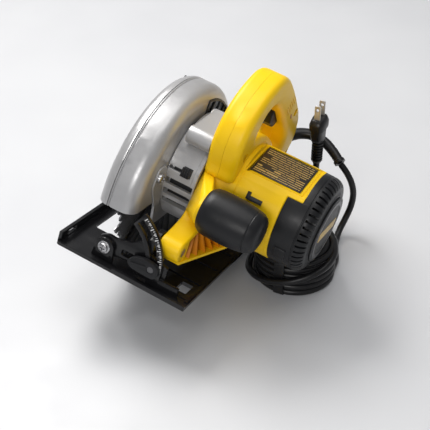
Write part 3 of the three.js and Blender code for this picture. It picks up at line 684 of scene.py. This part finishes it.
def bend(r, x, radius, start, end, side=1):
    """Profile points round a corner whose middle is (r, x): 0 degrees along the axis, 90 outwards."""
    turn = [math.radians(start + (end - start) * k / 9) for k in range(10)]
    return [(r + radius * math.sin(t), x + side * radius * math.cos(t)) for t in turn]


def make_upper_guard():
    profile = [(24, 18), *bend(87.5, 5, 13, 0, 90), (100.5, -5.2), (99.5, -5.6), (99.5, -6.8), (100.5, -7.2),
               (100.5, -7.9), (99.6, -8.7), (98, -8.7), *bend(87.5, 5, 10.5, 90, 0), (24, 15.5)]
    shell = lathe(profile, *ARBOR, 144)
    cut(shell, prism("X", BELOW_GUARD, -30, 30, 10, 6),
        ring_piece([*LEVER_SLOT, 44], 12, 20, 3),
        ring_piece([*CHUTE, 16], 12, 20, 3))
    soften(shell, 0.8, 3)
    settle(shell, "guard_shell", SILVER, "upper_guard", crease=50)


def make_guard_cover():
    profile = [(60, -17.5), (60, -20), *bend(89.5, -9, 11, 0, 90, side=-1), (100.3, -8.95), (98, -8.95),
               *bend(89.5, -9, 8.5, 90, 0, side=-1)]
    shell = lathe(profile, *ARBOR, 144)
    cut(shell, prism("X", BELOW_GUARD, -30, 30, 10, 6))
    ribs = [ring_piece([63, 88, a - 0.5, a + 0.5, 1], -20.6, -19) for a in range(20, 170, 15)]
    soften(join(shell, *ribs), 0.6)
    settle(shell, "guard_cover_shell", SILVER, "guard_cover", crease=50)


def make_chute():
    r0, r1, a0, a1 = CHUTE
    walls = ring_piece([r0 + 0.3, r1 - 0.3, a0 + 0.4, a1 - 0.4, 16], 15.5, 19.2, 3)
    cut(walls, ring_piece([r0 + 2.3, r1 - 2.3, a0 + 2.6, a1 - 2.6, 16], 15, 20, 3))
    bars = [ring_piece([r0 + 1, r1 - 1, a - 0.5, a + 0.5, 1], 16, 18.6) for a in (52, 63, 74)]
    soften(join(walls, *bars), 0.35)
    settle(walls, "chute_grille", BLACK, "dust_chute")


def make_lower_guard():
    front, rear = 220, 368
    rim_r, face, sheet = 96.5, 5.5, 1.8
    wall = face - sheet
    ring = ring_piece([rim_r - 2, rim_r, front, rear, 64], -face, face)
    inner = ring_piece([15, rim_r, front, rear, 64], wall, face, 6)
    outer = ring_piece([64, rim_r, front, rear, 64], -face, -wall)
    bars = [ring_piece([26, rim_r, front, front + 1.6, 1], 2, face),
            ring_piece([64, rim_r, front, front + 1.6, 1], -face, -2)]
    join(ring, inner, outer, *bars)
    cut(ring, box(-wall, wall, -24, 24, ARBOR[1] - 24, ARBOR[1] + 24))
    hub = lathe([(15, wall), (22, wall), (22, 13.4), (21.4, 14), (15, 14)], *ARBOR, 64)
    ribs = [ring_piece([27, 91, a - 0.6, a + 0.6, 1], 5, 6.6) for a in range(228, 366, 11)]
    bead = ring_piece([91, 92.6, front + 3, rear - 3, 60], 5, 6.6)
    soften(join(ring, hub, bead, *ribs), 0.35)
    settle(ring, "lower_guard_shell", GUARD_BLACK, "lower_guard", "lower_guard_body")


def make_guard_lever():
    angle = -12

    def bar(r0, r1, half, x0, x1):
        return radial_box(x0, x1, r0, r1, half, angle, ARBOR)

    lever = join(bar(40, 68, 5, 5.8, 7.8), bar(62.5, 68, 4, 6, 20.2), bar(62.5, 94, 4, 18.5, 20.2),
                 bar(87, 94, 8, 18.5, 36))
    soften(lever, 0.8, 3)
    settle(lever, "retracting_lever", BLACK, "guard_lever", "lower_guard_body")


def make_guard_spring():
    """Wire wound a little over three turns round the lower guard's hub."""
    turns, per_turn, pitch, radius = 3.2, 40, 1.1, 24.3
    path = [Vector((9.2 + pitch * k / per_turn, *polar(radius, 360 * k / per_turn, *ARBOR)))
            for k in range(int(turns * per_turn) + 1)]
    wire = sweep(path, [0.5] * len(path), 10)
    settle(wire, "return_spring", ZINC, "guard_spring")


# ---- blade and its clamp
BLADE_R = 92


def make_blade():
    teeth, half, tip_half = 24, 0.75, 0.9
    tooth = ((81, -1.6), (82, -0.2), (84.5, 0.6), (BLADE_R, 1.3), (91, 3.2), (89.6, 5.2), (84.5, 6.2),
             (83.6, 8.0), (85.2, 10.4), (84.6, 12.2))
    carbide = ((84.6, 0.7), (BLADE_R, 0.9), (91.5, 2.3), (85.4, 2.0))
    angles = [360 / teeth * k for k in range(teeth)]
    disc = prism("X", [polar(r, a + off, *ARBOR) for a in angles for r, off in tooth], -half, half)
    holes = [rod(8, -3, 3, *ARBOR, 48)]
    slit_r = (64, 70, 76, 82, 90)
    slit = [(r, 30 + (BLADE_R - r) * 0.35) for r in slit_r]
    slit += [(r, 30.6 + (BLADE_R - r) * 0.35) for r in slit_r[::-1]]
    for quarter in (0, 90, 180, 270):
        holes.append(rod(2.2, -3, 3, *polar(68, 45 + quarter, *ARBOR), 24))
        holes.append(prism("X", [polar(r, a + quarter, *ARBOR) for r, a in slit], -3, 3))
    cut(disc, *holes)
    settle(disc, "saw_blade", BLADE, "blade", "arbor")
    for k, a in enumerate(angles):
        tip = prism("X", [polar(r, a + off, *ARBOR) for r, off in carbide], -tip_half, tip_half)
        settle(soften(tip, 0.12), f"blade_tip_{k + 1}", ZINC, body="arbor")


def make_blade_clamp():
    for name, x0, x1, stands in (("inner_washer", 1.2, 3.4, "inner_flange"),
                                 ("outer_washer", -3.4, -1.2, "outer_flange")):
        profile = [(4.4, x0), (19.4, x0), (20, x0 + 0.6), (20, x1 - 0.6), (19.4, x1), (4.4, x1)]
        settle(lathe(profile, *ARBOR, 72), name, ZINC, stands, "arbor")
    head = prism("X", [polar(10, 60 * k, *ARBOR) for k in range(6)], -10, -3.7)
    dome = lathe([(0, -10.1), (7.8, -10.1), (10.2, -7.6), (10.2, -3.6), (0, -3.6)], *ARBOR, 48)
    combine(head, [dome], "INTERSECT")
    soften(join(head, rod(4.1, -4, 12, *ARBOR, 32)), 0.3)
    settle(head, "blade_screw", ZINC, "blade_bolt", "arbor")


# ---- gear case
BOSSES = ((-38, 119), (5, 122))
VENTS = ((163, 19.6, 36, 1.7), (177.5, 20.5, 48.6, 3.3), (190, 20.5, 48.6, 3.3), (202, 20.5, 48.6, 3.3))
LOCK_ANGLE = 162
LOCK_X = (34, 42.4)


def make_gear_case():
    case = lathe([(0, 18.3), (52, 18.3), (53, 19.3), (53, 45.4), (53.5, 45.9), (53.5, 49.4), (52.9, 50),
                  (49, 50), (49, 23), (0, 23)], *MOTOR, 128)
    boss = [(0, 24.6), (7, 24.6), (8.4, 25.2), (9, 26.8), (9, 50), (0, 50)]
    bosses = [lathe(boss, *place, 48) for place in BOSSES]
    web = prism("X", [(-38, 128), (5, 131), (5, 121), (-38, 117)], 27, 50)
    hub = rod(14.5, 6, 20, *ARBOR, 48)
    foot = prism("X", [(-74, 70), (-70, 88), (-60, 90), (-48, 80), (-50, 40), (-60, 46)], 18.3, 19.8, 5)
    join(case, *bosses, web, hub, foot)
    recess = ring_piece([61.5, 110, -26, 111, 40], 17, 20.6)
    slots = [soften(radial_box(x0, x1, 44, 60, half, a), 0.9, 3) for a, x0, x1, half in VENTS]
    lock = radial_box(LOCK_X[0] - 0.3, LOCK_X[1] + 0.3, 44, 58, 4.8, LOCK_ANGLE)
    cut(case, recess, *slots, lock,
        lathe([(0, 5), (12.3, 5), (12.3, 17), (9, 17), (9, 24), (0, 24)], *ARBOR, 48))
    soften(case, 0.7, 3)
    settle(case, "gear_housing", SILVER, "gear_case", crease=45)


def make_vent_shade_wall():
    """A dark wall behind the vents: painted shade, standing in for the gear case's shaded inside."""
    profile = [(46.4, 23.6), (48.9, 23.6), (48.9, 49.6), (48.76, 49.6), (48.76, 42.7), (46.4, 42.7)]
    shade_wall = lathe(profile, *MOTOR, 96)
    cut(shade_wall, radial_box(32.8, 43.8, 38, 60, 5.6, LOCK_ANGLE))
    settle(shade_wall, "vent_shade_wall", BLACK)


def make_lock_button():
    button = radial_box(*LOCK_X, 46, 58.6, 4.5, LOCK_ANGLE)
    grooves = [radial_box(35.6 + 2.4 * k, 36.4 + 2.4 * k, 58, 60, 5, LOCK_ANGLE) for k in range(3)]
    soften(cut(button, *grooves), 0.6, 3)
    settle(button, "lock_button", BLACK, "spindle_lock", "spindle_lock_body")


def make_guard_screw():
    pan_screw("guard_screw", "X", (20.0, -66.5, 79), 4.6, 3.4)


def pan_screw(name, axis, place, radius, height, stands=None, body="saw_body", washer=0.0):
    """A domed screw head with a cross recess: 'X' faces the motor's end, 'Y' the rear, '-Y' the front."""
    head = lathe([(0, -1.0), (radius, -1.0), (radius, height * 0.45), (radius * 0.9, height * 0.8),
                  (radius * 0.55, height), (0, height)], 0, 0, 40)
    long, wide = radius * 0.55, radius * 0.16
    cut(head, *[box(height * 0.35, height + 2, -a, a, -b, b) for a, b in ((long, wide), (wide, long))])
    if washer:
        rim = [(0, -1.2), (washer, -1.2), (washer, 0.2), (washer - 0.4, 0.6), (0, 0.6)]
        join(head, lathe(rim, 0, 0, 48))
    soften(head, radius * 0.06)
    turn = math.radians({"X": 0, "Y": 90, "-Y": -90}[axis])
    head.data.transform(Matrix.Translation(place) @ Matrix.Rotation(turn, 4, "Z"))
    settle(head, name, ZINC, stands, body)


# ---- motor housing
DEPTH = (-94, 37)
PIVOT_HOLE = 4.4
KNOB = (-73, 76)
KNOB_FACE = 72.3
MOTOR_R = 48
SHELL_X = 50.3
# the flat that carries the rating plate: its direction and how far it is from the motor's axis
PLATE_ANGLE = 102.4
FLAT_R = 41.8
NOSE_HOLLOW = [(-86, 27.8), (-85, 45.5), (-68, 49.5), (-57, 59), (-54, 61), (-45, 61), (-20, 27.8)]
SHELF_EDGE = ((-97, 72), (-34, 92), (-14, 108))


def nose_outline():
    return [(-30, 104), (-44, 90), (-53, 65), (-67, 53), (-84, 49), *arc(10.5, 80, 250, 10, *DEPTH),
            (-84, 25), (-24, 25), (-10, 31), (0, 76)]


def knob_support(clearance=0.0):
    """The arm swells from its blade side out to the knob."""
    c = clearance
    seat = [(x, *polar(16 + c, 10 * k, *KNOB)) for x in (69, 72 + c) for k in range(36)]
    root = [(-30, 94 + c), (-41 - c, 94 + c), (-44 - c, 90), (-53 - c, 65), (-60, 59), (-30, 59)]
    return hull(seat + [(x, y, z) for x in (SHELL_X, 56) for y, z in root])


def make_motor_housing():
    r = MOTOR_R
    barrel = lathe([(0, SHELL_X), (r - 1, SHELL_X), (r, SHELL_X + 1), (r, 83.6), (r - 0.4, 83.9),
                    (r - 0.4, 84.5), (r, 84.8), (r, 129.2), (r - 0.8, 130), (0, 130)], *MOTOR, 128)
    ledge = rod(r, 129, 145, *MOTOR, 128)
    combine(ledge, [radial_box(128, 145, 30, 60, 27, PLATE_ANGLE)], "INTERSECT")
    nose = soften(prism("X", nose_outline(), SHELL_X, 72), 2.4, 4, 20)
    shelf = prism("Z", [(56, -97), *[(x, y) for y, x in SHELF_EDGE], (56, -14)], 25, 27.8)
    join(barrel, ledge, nose, shelf, knob_support())
    hollow = cut(prism("X", NOSE_HOLLOW, 54, 80), rod(r, 50, 90, *MOTOR, 128))
    flat = radial_box(83.5, 146, FLAT_R, 60, 40, PLATE_ANGLE)
    cut(barrel, hollow, flat,
        rod(38.5, 53.5, 146, *MOTOR, 96),
        rod(30, 49, 55, *MOTOR, 64),
        rod(PIVOT_HOLE, 40, 80, *DEPTH, 32),
        rod(4.3, 64, 80, *KNOB, 32))
    deep = (FLAT_R - 0.5, FLAT_R + 1)
    sides = [shift_on_flat(radial_box(85.6, 141.5, *deep, 0.25, PLATE_ANGLE), off) for off in (-22.6, 22.6)]
    ends = [radial_box(x, x + 0.7, *deep, 22.9, PLATE_ANGLE) for x in (85.6, 140.9)]
    cut(barrel, *sides, *ends)
    soften(barrel, 0.9, 3, 34)
    settle(barrel, "motor_shell", YELLOW, "motor_housing", crease=48)


def shift_on_flat(piece, distance):
    """Moves a piece along the rating flat, across the motor axis."""
    a = math.radians(PLATE_ANGLE)
    piece.data.transform(Matrix.Translation((0, -math.sin(a) * distance, math.cos(a) * distance)))
    return piece


def make_nose_ribs():
    """The fan of ribs in the hollow under the knob, on a back wall; ribs and wall are coloured a darker
    orange yellow, painted shade of the hollow.
    """
    wall_x, half = 53.9, 0.55
    tops = ((-72, 47), (-67, 50), (-63, 54), (-60, 56), (-57, 58.5), (-54, 60.5))
    feet = (-83, -73, -62, -52, -43, -35)
    (y0, x0), (y1, x1) = SHELF_EDGE[:2]
    ribs = []
    for (top_y, top_z), foot in zip(tops, feet):
        reach = x0 + (x1 - x0) * (foot - y0) / (y1 - y0) - 1.5
        corners = ((wall_x, top_y, top_z), (70.5, top_y, top_z), (wall_x, foot, 27.6), (reach, foot, 27.6))
        ribs.append(hull([(x, y + d, z) for x, y, z in corners for d in (-half, half)]))
    piece = join(prism("X", NOSE_HOLLOW, 53.8, 54.5), *ribs)
    cut(piece, rod(MOTOR_R + 0.2, 50, 110, *MOTOR, 96))
    settle(soften(piece, 0.2), "nose_ribs", PAINTED_SHADE_YELLOW)


def make_rating_plate():
    """A printed film with generic gold bars in rows and no lettering."""
    film = radial_box(87, 138, FLAT_R + 0.3, FLAT_R + 0.9, 20, PLATE_ANGLE)
    settle(soften(film, 0.2), "rating_film", FILM, "rating_plate")
    dice = random.Random(7)
    bars = []
    rows = 13
    for row in range(rows):
        across = -17.6 + row * 35.2 / (rows - 1)
        x = 89
        while x < 135.5:
            length = min(dice.uniform(3, 13), 136.2 - x)
            half = 0.95 if row in (9, 11) and x < 108 else dice.choice((0.38, 0.44, 0.5))
            if dice.random() < 0.95:
                bars.append(rectangle(x, x + length, across - half, across + half))
            x += length + dice.uniform(0.5, 1.0)
    a = math.radians(PLATE_ANGLE)
    out = Vector((0, math.cos(a), math.sin(a)))
    along = Vector((0, -math.sin(a), math.cos(a)))
    middle = Vector((0, *MOTOR)) + out * (FLAT_R + 0.96)
    solids = [[[middle + out * lift + along * v + Vector((u, 0, 0)) for u, v in bar] for lift in (-0.08, 0)]
              for bar in bars]
    settle(loft(*solids), "rating_print", PRINT)


def make_black_block_over_knob():
    """A small black block of two boxes on the motor's front, over the knob."""
    clip = join(radial_box(97, 112, 47, 49.6, 2.1, 157), radial_box(96.5, 99.5, 47, 51, 3.6, 155))
    settle(soften(clip, 0.7, 3), "black_block_over_knob", BLACK)


def make_end_cap():
    shoulder = [(37.8 + 9.5 * math.cos(t), 154 + 10.2 * math.sin(t))
                for t in (math.radians(7.5 * k) for k in range(13))]
    profile = [(44.5, 130.3), (47.3, 130.3), (47.5, 130.6), (47.5, 151.4), (46.9, 151.7), (46.9, 152.5),
               (47.3, 152.8), *shoulder, (36, 164.9), (35.2, 165.5), (0, 165.5), (0, 162), (9.8, 162),
               (9.8, 149), (13, 149), (13, 162), (35, 162), (40, 159.5), (44.5, 154)]
    cap = lathe(profile, *MOTOR, 144)
    notch = soften(radial_box(129, 145.3, 30, 60, 27.3, PLATE_ANGLE), 1.5, 3)
    count = 46
    slots = [radial_box(154.2, 168, 41.2, 52, 1.05, 360 / count * (k + 0.5)) for k in range(count)]
    cut(cap, notch, join(slots[0], *slots[1:]))
    soften(cap, 0.35)
    settle(cap, "rear_cap", BLACK, "end_cap", crease=40)


def make_end_vent_shade_wall():
    """A dark grey wall behind the end cap's slots: painted shade, standing in for the motor's shaded inside.
    """
    end_shade_wall = lathe([(36.4, 155), (40.6, 155), (40.6, 162.4), (36.4, 164)], *MOTOR, 96)
    settle(end_shade_wall, "end_vent_shade_wall", GREY_PART)


def make_end_badge():
    """The disc in the end cap, with a ring and a plain band."""
    badge = [(0, 165.8), (32.4, 165.8), (33, 166.3), (32.6, 167.2), (28, 167.4), (0, 167.5)]
    settle(lathe(badge, *MOTOR, 96), "end_badge", GREY_PART, "end_disc")
    ring = lathe([(25.5, 167.3), (25.5, 167.75), (29.5, 167.7), (29.5, 167.2)], *MOTOR, 96)
    settle(ring, "end_badge_ring", ZINC_DARK)
    band = prism("X", rectangle(-22, 22, 66, 76), 167.3, 167.8, 2)
    settle(soften(band, 0.15), "end_badge_band", PRINT)


def make_brush_covers():
    for k, a in enumerate((205, 335)):
        cover = radial_box(136, 148, 46, 48.6, 7, a)
        settle(soften(cover, 1.0, 3), f"brush_cover_{k + 1}", BLACK)


def make_knob():
    profile = [(0, 0), (18.4, 0), (19.3, 0.7), (21.4, 4), (22.3, 9), (22.5, 15), (22.5, 26), (22.2, 33),
               (21.3, 41), (20.4, 46.2), (20, 46.5), (20, 47.2), (20.2, 47.6), (19.2, 51), (17.2, 54.2),
               (14.6, 55.9), (9, 56.8), (0, 57)]
    knob = lathe([(r, KNOB_FACE + x) for r, x in profile], *KNOB, 96)
    settle(knob, "front_grip", BLACK, "front_knob")


# ---- handle, trigger and switch
HANDLE_X = 65
HANDLE_OUTLINE = [(-40, 44), (-47, 60), (-50, 78), (-47, 94), (-38, 109), (-22, 123), (-3, 132), (15, 136.5),
                  (32, 133), (52, 120), (80, 97.5), (103, 76.5), (113, 60), (116, 44), (109, 26), (97, 12),
                  (80, 0), (60, -6), (40, 0), (20, 30)]
HAND_HOLE = [(-14, 82), (-14, 95), (-5, 106), (12, 110), (30, 102), (54, 82), (74, 62), (80, 47), (73, 38),
             (60, 46), (44, 62), (24, 74), (4, 80)]
GRIP_HALF, GRIP_ROUND = 15.5, 6.5
PRESS = (0.68, 0.733)
TRIGGER_AT = (54, 82)


def handle_blank():
    """The D-handle as one rounded solid, before it is fitted to the motor and split."""
    curve = bpy.data.curves.new("handle", "CURVE")
    curve.dimensions, curve.fill_mode = "2D", "BOTH"
    for outline in (HANDLE_OUTLINE, HAND_HOLE):
        points = smooth_loop([(y, up + ARBOR[1]) for y, up in outline], 5)
        spline = curve.splines.new("POLY")
        spline.points.add(len(points) - 1)
        for point, (u, v) in zip(spline.points, points):
            point.co = (u, v, 0, 1)
        spline.use_cyclic_u = True
    curve.extrude = GRIP_HALF - GRIP_ROUND
    curve.bevel_depth, curve.bevel_resolution, curve.offset = GRIP_ROUND, 4, -GRIP_ROUND
    holder = add_object("handle", curve)
    mesh = bpy.data.meshes.new_from_object(holder.evaluated_get(bpy.context.evaluated_depsgraph_get()))
    bpy.data.objects.remove(holder)
    mesh.transform(Matrix(((0, 0, 1, HANDLE_X), (1, 0, 0, 0), (0, 1, 0, 0), (0, 0, 0, 1))))
    return face_outwards(add_object("handle", mesh))


def on_grip(points):
    (y, up), (lean, rise) = TRIGGER_AT, PRESS
    return [(y + u * rise + v * lean, ARBOR[1] + up - u * lean + v * rise) for u, v in points]


def make_handle():
    blank = handle_blank()
    to_saw = SAW.inverted() @ TABLE
    relief_line = smooth_line([to_saw @ Vector(p) for p in RELIEF_PATH], 3.0)
    socket = sweep(relief_line, [6.6] * len(relief_line), 20)
    tools = [rod(MOTOR_R + 0.3, 50, 150, *MOTOR, 96),
             rod(53.8, 0, 50.8, *MOTOR, 96),
             *[rod(9.4, 0, 50.8, *place, 32) for place in BOSSES],
             knob_support(0.3),
             prism("X", [(y - 0.3, z + 0.3) for y, z in nose_outline()], 49.3, 72.3),
             radial_box(80, 150, FLAT_R, 60, 26, PLATE_ANGLE), socket]
    cut(blank, *tools)
    pocket = prism("X", on_grip(rectangle(-15, 15, -6, 10.6)), 58.6, 71.4, 1.5)
    cut(blank, pocket)
    steps = [k - 2.5 for k in range(6)]
    grooves = [turned_box((60 + 1.9 * k, 143 + 2.6 * k), (15, 1.0), -37, 79.7, 82) for k in steps]
    cut(blank, *grooves)
    screws = [(84, 128), (100, 74), (-29.8, 116.4)]
    recesses = [rod(4.2, 73, 84, y, z, 32) for y, z in screws]
    cut(blank, *recesses)
    for name, x0, x1, stands in (("grip_shell_left", 30, HANDLE_X - 0.1, "handle_left"),
                                 ("grip_shell_right", HANDLE_X + 0.1, 100, "handle_right")):
        half = add_object(name, blank.data.copy())
        combine(half, [box(x0, x1, -90, 150, 0, 230)], "INTERSECT")
        soften(half, 0.45, 2, 40)
        settle(half, name, YELLOW, stands, crease=50)
    bpy.data.objects.remove(blank)
    for k, (y, z) in enumerate(screws):
        pan_screw(f"grip_screw_{k + 1}", "X", (73.4, y, z), 3.2, 1.4)
    window = turned_box((72, 127), (7, 1.8), -52, 80.1, 80.8)
    settle(soften(window, 0.3), "switch_window", RED)


def make_trigger():
    shape = on_grip([(-14, 6), (14, 6), (14, -3), (9, -9), (1, -9.4), (-6, -11.4), (-13, -5)])
    lever = soften(prism("X", shape, 59.2, 70.8, 3.5, 6), 1.6, 4)
    settle(lever, "finger_trigger", BLACK, "trigger", "trigger_body")


# ---- depth bracket and strap
LEVER_POINT = (56, 78)
STRAP_R = math.dist(LEVER_POINT, DEPTH)
BEVEL = (5, 16)
CLAMP = (55, 20)
BRACKET_Y = (-109.3, -105.8)
SCALE_Y = (-112.9, -109.6)


def rod_y(radius, x, z, y0, y1):
    """A round bar along Y."""
    bar = rod(radius, y0, y1, 0, 0, 32)
    bar.data.transform(Matrix(((0, -1, 0, x), (1, 0, 0, 0), (0, 0, 1, z), (0, 0, 0, 1))))
    return bar


def make_bracket():
    front, rear = BRACKET_Y
    lug = [(front, 20), (rear, 20), (-86, 28), *arc(10.5, 0, 120, 8, *DEPTH), (front, 43)]
    ear = prism("X", lug, 44, 49.5, 1.5)
    outline = [(-4, 9), (13, 8), (20, 11), (68, 11), (68, 24), (49.5, 28), (49.5, 43), (44, 43), (30, 32),
               (13, 27), (5, 28), (-4, 23)]
    plate = prism("Y", outline, front, rear, 2.5)
    join(plate, ear)
    cut(plate, rod(PIVOT_HOLE, 40, 80, *DEPTH, 32),
        rod_y(PIVOT_HOLE, *BEVEL, -115, -100), rod_y(3.4, *CLAMP, -115, -100),
        prism("Y", rectangle(21, 46, 14.5, 21), -112, -100, 2.5))
    soften(plate, 0.7, 3)
    settle(plate, "depth_bracket_plate", PAINT, "front_bracket", "depth_bracket")


def make_strap():
    x0, x1 = -24, -21
    arm = prism("X", sector(STRAP_R - 8, STRAP_R + 8, -3, 37, 40, *DEPTH), x0, x1, 3)
    cut(arm, prism("X", sector(STRAP_R - 3.4, STRAP_R + 3.4, 8, 34.2, 40, *DEPTH), x0 - 1, x1 + 1, 3.2))
    foot = box(x0, x1, 58, 134, 30, 42)
    ear = prism("Y", [(-24, 30), (-4, 10), (14, 10), (14, 22), (-12, 42), (-24, 42)], 131, 134, 3)
    join(arm, foot, ear)
    cut(arm, rod_y(PIVOT_HOLE, *BEVEL, 125, 140))
    soften(arm, 0.6)
    settle(arm, "depth_strap_plate", PAINT, "depth_strap", "depth_bracket")


def make_depth_lever():
    y, z = LEVER_POINT
    grip = ((-8, -6), (6, -8), (12, 8), (9, 36), (1, 38), (-6, 8))
    lever = prism("X", [(y + a, z + b) for a, b in grip], -35, -30.3, 5, 6)
    cut(lever, rod(3.3, -36, -29, *LEVER_POINT, 32))
    soften(lever, 1.3, 4)
    settle(lever, "depth_lever_grip", BLACK, "depth_lever", "depth_lever_body")


# ---- shoe, bevel scale and clamp
def make_shoe():
    t = 3
    left, right, front, rear = -39, 97, -121, 160
    plate = prism("Z", rectangle(left, right, front, rear), 0, t, 4, 6)
    fence = box(left, left + t, front + 3, rear, 0, 12)
    lip = box(21, right, front, front + 2.5, 0, 4.6)
    ribs = [box(40, 92, -78 + 34 * k, -74.5 + 34 * k, t - 0.5, t + 1.1) for k in range(6)]
    edge = box(92.5, 95.5, -112, 155, t - 0.5, t + 1.1)
    step = prism("Z", rectangle(36, 94, -108, -84), t - 0.5, t + 0.8, 3)
    join(plate, fence, lip, edge, step, *ribs)
    opening = prism("Z", rectangle(-27, 33, -72, 128), -1, t + 3, 4)
    kerf = box(-6, 19, -88, -70, -1, t + 3)
    window = prism("Z", rectangle(77, 88, -101, -85), -1, t + 3, 1.5)
    fence_slot = soften(box(left - 1, left + 4, -106, -92, 4, 9), 1.2)
    cut(plate, opening, kerf, window, fence_slot)
    soften(plate, 0.55)
    settle(plate, "shoe_plate", PAINT, "shoe", "shoe_body")


def make_pivot_ears():
    x = BEVEL[0]
    for name, (y0, y1), stands in (("pivot_ear_front", SCALE_Y, "front_pivot_ear"),
                                   ("pivot_ear_rear", (134.3, 137.3), "rear_pivot_ear")):
        ear = prism("Y", [(x - 11, 3.3), (x + 11, 3.3), *arc(9.5, 0, 180, 24, *BEVEL)], y0, y1)
        cut(ear, rod_y(PIVOT_HOLE, *BEVEL, y0 - 1, y1 + 1))
        settle(soften(ear, 0.5), name, PAINT, stands, "shoe_body")


def make_pivot_bolts():
    for name, axis, face, inner, stands in (("pivot_screw_front", "-Y", -113.4, -103, "front_pivot_bolt"),
                                            ("pivot_screw_rear", "Y", 137.8, 128, "rear_pivot_bolt")):
        place = (BEVEL[0], face, BEVEL[1])
        pan_screw(name, axis, place, 4.6, 3.0, stands, "depth_bracket", 6.2)
        stem = rod_y(4.1, *BEVEL, *sorted((face, inner)))
        settle(soften(stem, 0.3), name + "_stem", ZINC, body="depth_bracket")


def make_quadrant():
    y0, y1 = SCALE_Y
    arch = prism("Y", sector(42.5, 59, -12, 60, 48, *BEVEL), y0, y1, 5)
    cut(arch, prism("Y", sector(46.5, 53.9, -1.5, 57.2, 40, *BEVEL), y0 - 1, y1 + 1, 3.4))
    foot = box(52, 84, y0, y1, 3.3, 12)
    join(arch, foot)
    cut(arch, box(0, 100, y0 - 1, y1 + 1, -30, 3.3))
    soften(arch, 0.5)
    settle(arch, "bevel_scale", PAINT, "bevel_quadrant", "shoe_body")
    marks = []
    for k in range(51):
        tens, fives = k % 10 == 0, k % 5 == 0
        if tens or fives or k % 2 == 0:
            r0, half = 54.7 if tens else 55.6 if fives else 56.6, 0.42 if tens else 0.3
            degrees = 3.5 + k * 1.04
            a = math.radians(degrees)
            corners = [(polar(r, degrees, *BEVEL), side) for r, side in rectangle(r0, 58.4, -half, half)]
            marks.append([[(x - math.sin(a) * side, y, z + math.cos(a) * side) for (x, z), side in corners]
                          for y in (y0 - 0.05, y0 + 0.03)])
    settle(loft(*marks), "bevel_marks", WHITE, body="shoe_body")


def make_bevel_clamp():
    stem = rod_y(3, *CLAMP, -117.2, -103)
    nut = rod_y(4.8, *CLAMP, -105.5, -103)
    soften(join(stem, nut), 0.3)
    settle(stem, "bevel_stud", ZINC_DARK, "bevel_clamp_bolt", "depth_bracket")
    outline = [(48, 12), (60, 12), (64, 18), (61, 26), (49, 28), (37, 25), (31, 18), (36, 13)]
    lever = prism("Y", outline, -117.6, -113.2, 4, 6)
    cut(lever, rod_y(3.3, *CLAMP, -119, -112))
    ridge = prism("Y", [(34, 17.4), (50, 20.4), (50, 22), (34, 19)], -118.4, -117)
    soften(join(lever, ridge), 1.0, 3)
    settle(lever, "bevel_lever_grip", BLACK, "bevel_lever", "bevel_lever_body")


# ---- building everything
for build in (make_upper_guard, make_guard_cover, make_chute, make_lower_guard, make_guard_lever,
              make_guard_spring, make_blade, make_blade_clamp, make_gear_case, make_vent_shade_wall,
              make_lock_button, make_guard_screw, make_motor_housing, make_nose_ribs, make_rating_plate,
              make_black_block_over_knob, make_end_cap, make_end_vent_shade_wall, make_end_badge, make_brush_covers,
              make_knob, make_handle, make_trigger, make_bracket, make_strap, make_depth_lever, make_shoe,
              make_pivot_ears, make_pivot_bolts, make_quadrant, make_bevel_clamp):
    build()
